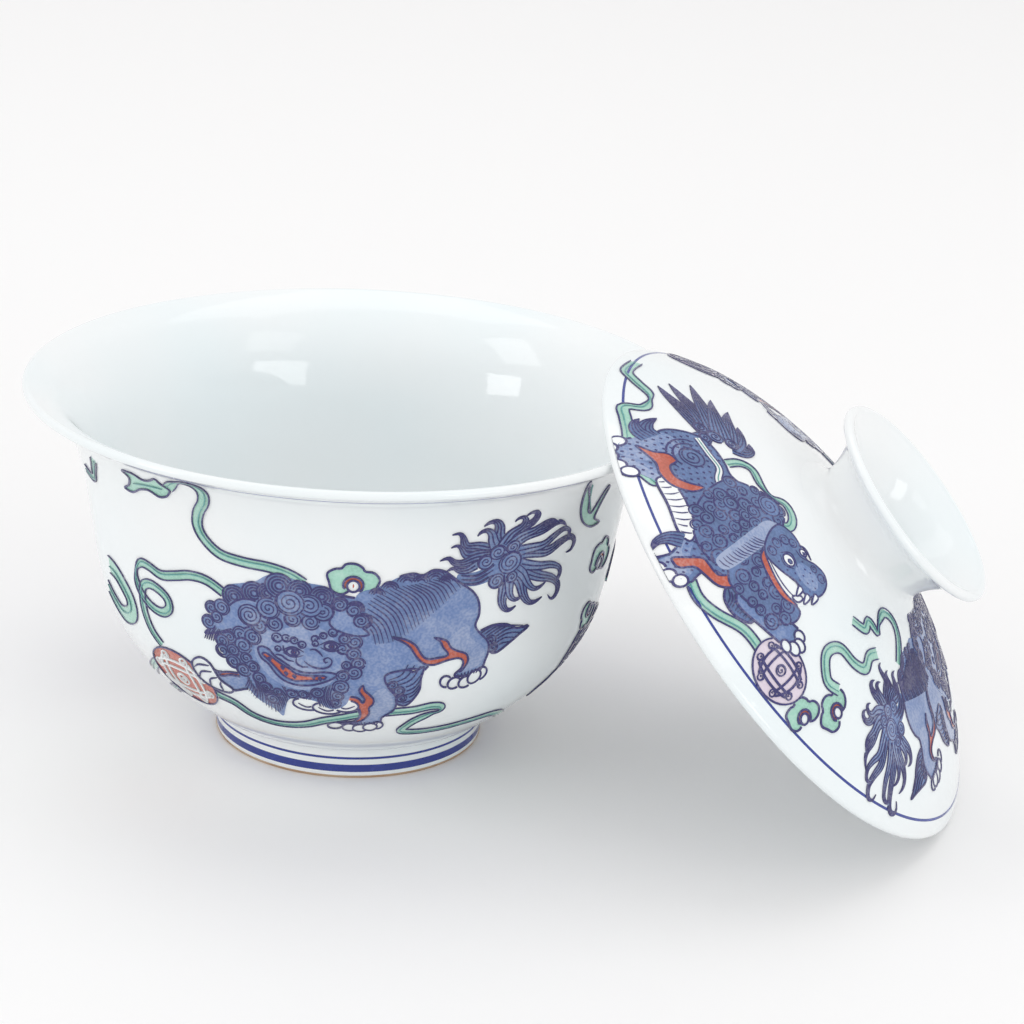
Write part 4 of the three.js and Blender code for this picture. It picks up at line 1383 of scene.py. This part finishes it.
class GAIWAN_OT_lid_painting(Maker, bpy.types.Operator):
    """Paints the lions, ribbons and balls round the lid"""

    bl_idname = "gaiwan.lid_painting"
    bl_label = "Lid painting"

    def make(self, sizes, materials):
        guide = guide_line("lid_guide", dome_outside(), by_radius=True)
        surface = {"Guide": guide, "Sheet radius": 1.0, "Sheet facing": 0.0, "Disc": True, "Lean": LID_LEAN,
                   "Centre": LID_CENTRE}
        paint("lid_painted", lid_sheet(), surface, materials, "lid")
        bpy.data.objects.remove(guide)


class GAIWAN_OT_stage(bpy.types.Operator):
    """Sets the pale floor, the soft lights and the camera"""

    bl_idname = "gaiwan.stage"
    bl_label = "Stage"
    bl_options = {"REGISTER", "UNDO"}

    def execute(self, context):
        stage = context.scene.gaiwan_stage
        make_floor()
        make_lights(stage)
        make_camera(stage)
        return {"FINISHED"}


CAMERA_PLACE = (0.0971, -0.4339, 0.2021)
CAMERA_HEADING = math.radians(12.4)
CAMERA_HEIGHT = math.radians(20.03)
CAMERA_ROLL = math.radians(3.13)
# Each soft light: its name, its place, its width and height, and its share of the key light's power.
LIGHTS = (
    ("overhead", (0.0, 0.25, 1.1), 1.1, 0.7, 1.6),
    ("left_window", (-0.75, -0.35, 0.75), 0.32, 0.4, 0.55),
    ("right_window", (0.75, -0.45, 0.80), 0.4, 0.4, 0.4),
    ("front_left", (-1.5, -1.15, 0.45), 0.55, 0.5, 2.9),
    ("front_right", (1.35, -1.05, 0.45), 0.75, 0.5, 2.9),
)


def make_floor():
    """A white sweep: a floor that curves up into a wall behind."""
    wide, front, back, tall, bend = 6.0, -3.0, 1.6, 3.0, 0.8
    curve = [(back - bend + bend * math.sin(a),
              bend - bend * math.cos(a)) for a in np.linspace(0, math.pi / 2, 13)]
    line = [(front, 0.0), *curve, (back, tall)]
    mesh = bpy.data.meshes.new("sweep")
    points = [(x, y, z) for y, z in line for x in (-wide / 2, wide / 2)]
    mesh.from_pydata(points, [], [(2 * k, 2 * k + 1, 2 * k + 3, 2 * k + 2) for k in range(len(line) - 1)])
    mesh.shade_smooth()
    material = bpy.data.materials.new("sweep_white")
    material.use_nodes = True
    shader = material.node_tree.nodes["Principled BSDF"]
    shader.inputs["Base Color"].default_value = (0.93, 0.925, 0.925, 1)
    shader.inputs["Roughness"].default_value = 0.55
    shader.inputs["Specular IOR Level"].default_value = 0.2
    mesh.materials.append(material)
    floor = bpy.data.objects.new("sweep", mesh)
    bpy.context.scene.collection.objects.link(floor)


def make_lights(stage):
    bpy.context.scene.view_settings.view_transform = "Standard"
    world = bpy.data.worlds.new("studio")
    bpy.context.scene.world = world
    world.use_nodes = True
    background = world.node_tree.nodes["Background"]
    background.inputs["Color"].default_value = (1.0, 1.0, 1.0, 1)
    background.inputs["Strength"].default_value = stage.fill
    aim = Vector((0, 0, 0.03))
    for name, place, wide, tall, power in LIGHTS:
        light = bpy.data.lights.new(name, "AREA")
        light.shape = "RECTANGLE"
        light.size, light.size_y = wide, tall
        light.energy = stage.key * power
        lamp = bpy.data.objects.new(name, light)
        lamp.location = place
        lamp.rotation_euler = (aim - Vector(place)).to_track_quat("-Z", "Y").to_euler()
        bpy.context.scene.collection.objects.link(lamp)


def make_camera(stage):
    camera = bpy.data.cameras.new("camera")
    camera.sensor_width = 36.0
    camera.lens = stage.lens
    camera.clip_start = 0.01
    view = bpy.data.objects.new("camera", camera)
    turn = (Matrix.Rotation(CAMERA_HEADING, 4, "Z") @ Matrix.Rotation(math.pi / 2 - CAMERA_HEIGHT, 4, "X")
            @ Matrix.Rotation(CAMERA_ROLL, 4, "Z"))
    view.matrix_world = Matrix.Translation(CAMERA_PLACE) @ turn
    bpy.context.scene.collection.objects.link(view)
    bpy.context.scene.camera = view


PIECES = (GAIWAN_OT_bowl, GAIWAN_OT_foot, GAIWAN_OT_lid, GAIWAN_OT_knob, GAIWAN_OT_lines,
          GAIWAN_OT_bowl_painting, GAIWAN_OT_lid_painting, GAIWAN_OT_stage)


class GAIWAN_PT_panel(bpy.types.Panel):
    """Lists the gaiwan's pieces, sizes and colours"""

    bl_idname = "GAIWAN_PT_panel"
    bl_label = "Gaiwan"
    bl_space_type = "VIEW_3D"
    bl_region_type = "UI"
    bl_category = "Gaiwan"

    def draw(self, context):
        for piece in PIECES:
            self.layout.operator(piece.bl_idname)
        for group in (context.scene.gaiwan_sizes, context.scene.gaiwan_colours, context.scene.gaiwan_stage):
            box = self.layout.box()
            for name in group.bl_rna.properties.keys():
                if name not in ("rna_type", "name"):
                    box.prop(group, name)


GROUPS = {"gaiwan_sizes": GaiwanSizes, "gaiwan_colours": GaiwanColours, "gaiwan_stage": GaiwanStage}


def register():
    for kind in (*GROUPS.values(), *PIECES, GAIWAN_PT_panel):
        bpy.utils.register_class(kind)
    for name, kind in GROUPS.items():
        setattr(bpy.types.Scene, name, bpy.props.PointerProperty(type=kind))


def unregister():
    for name in GROUPS:
        delattr(bpy.types.Scene, name)
    for kind in (GAIWAN_PT_panel, *reversed(PIECES), *reversed(GROUPS.values())):
        bpy.utils.unregister_class(kind)


def main():
    register()
    for piece in PIECES:
        group, name = piece.bl_idname.split(".")
        if getattr(getattr(bpy.ops, group), name)() != {"FINISHED"}:
            raise RuntimeError(f"{piece.bl_label} did not finish")


if __name__ == "__main__":
    main()
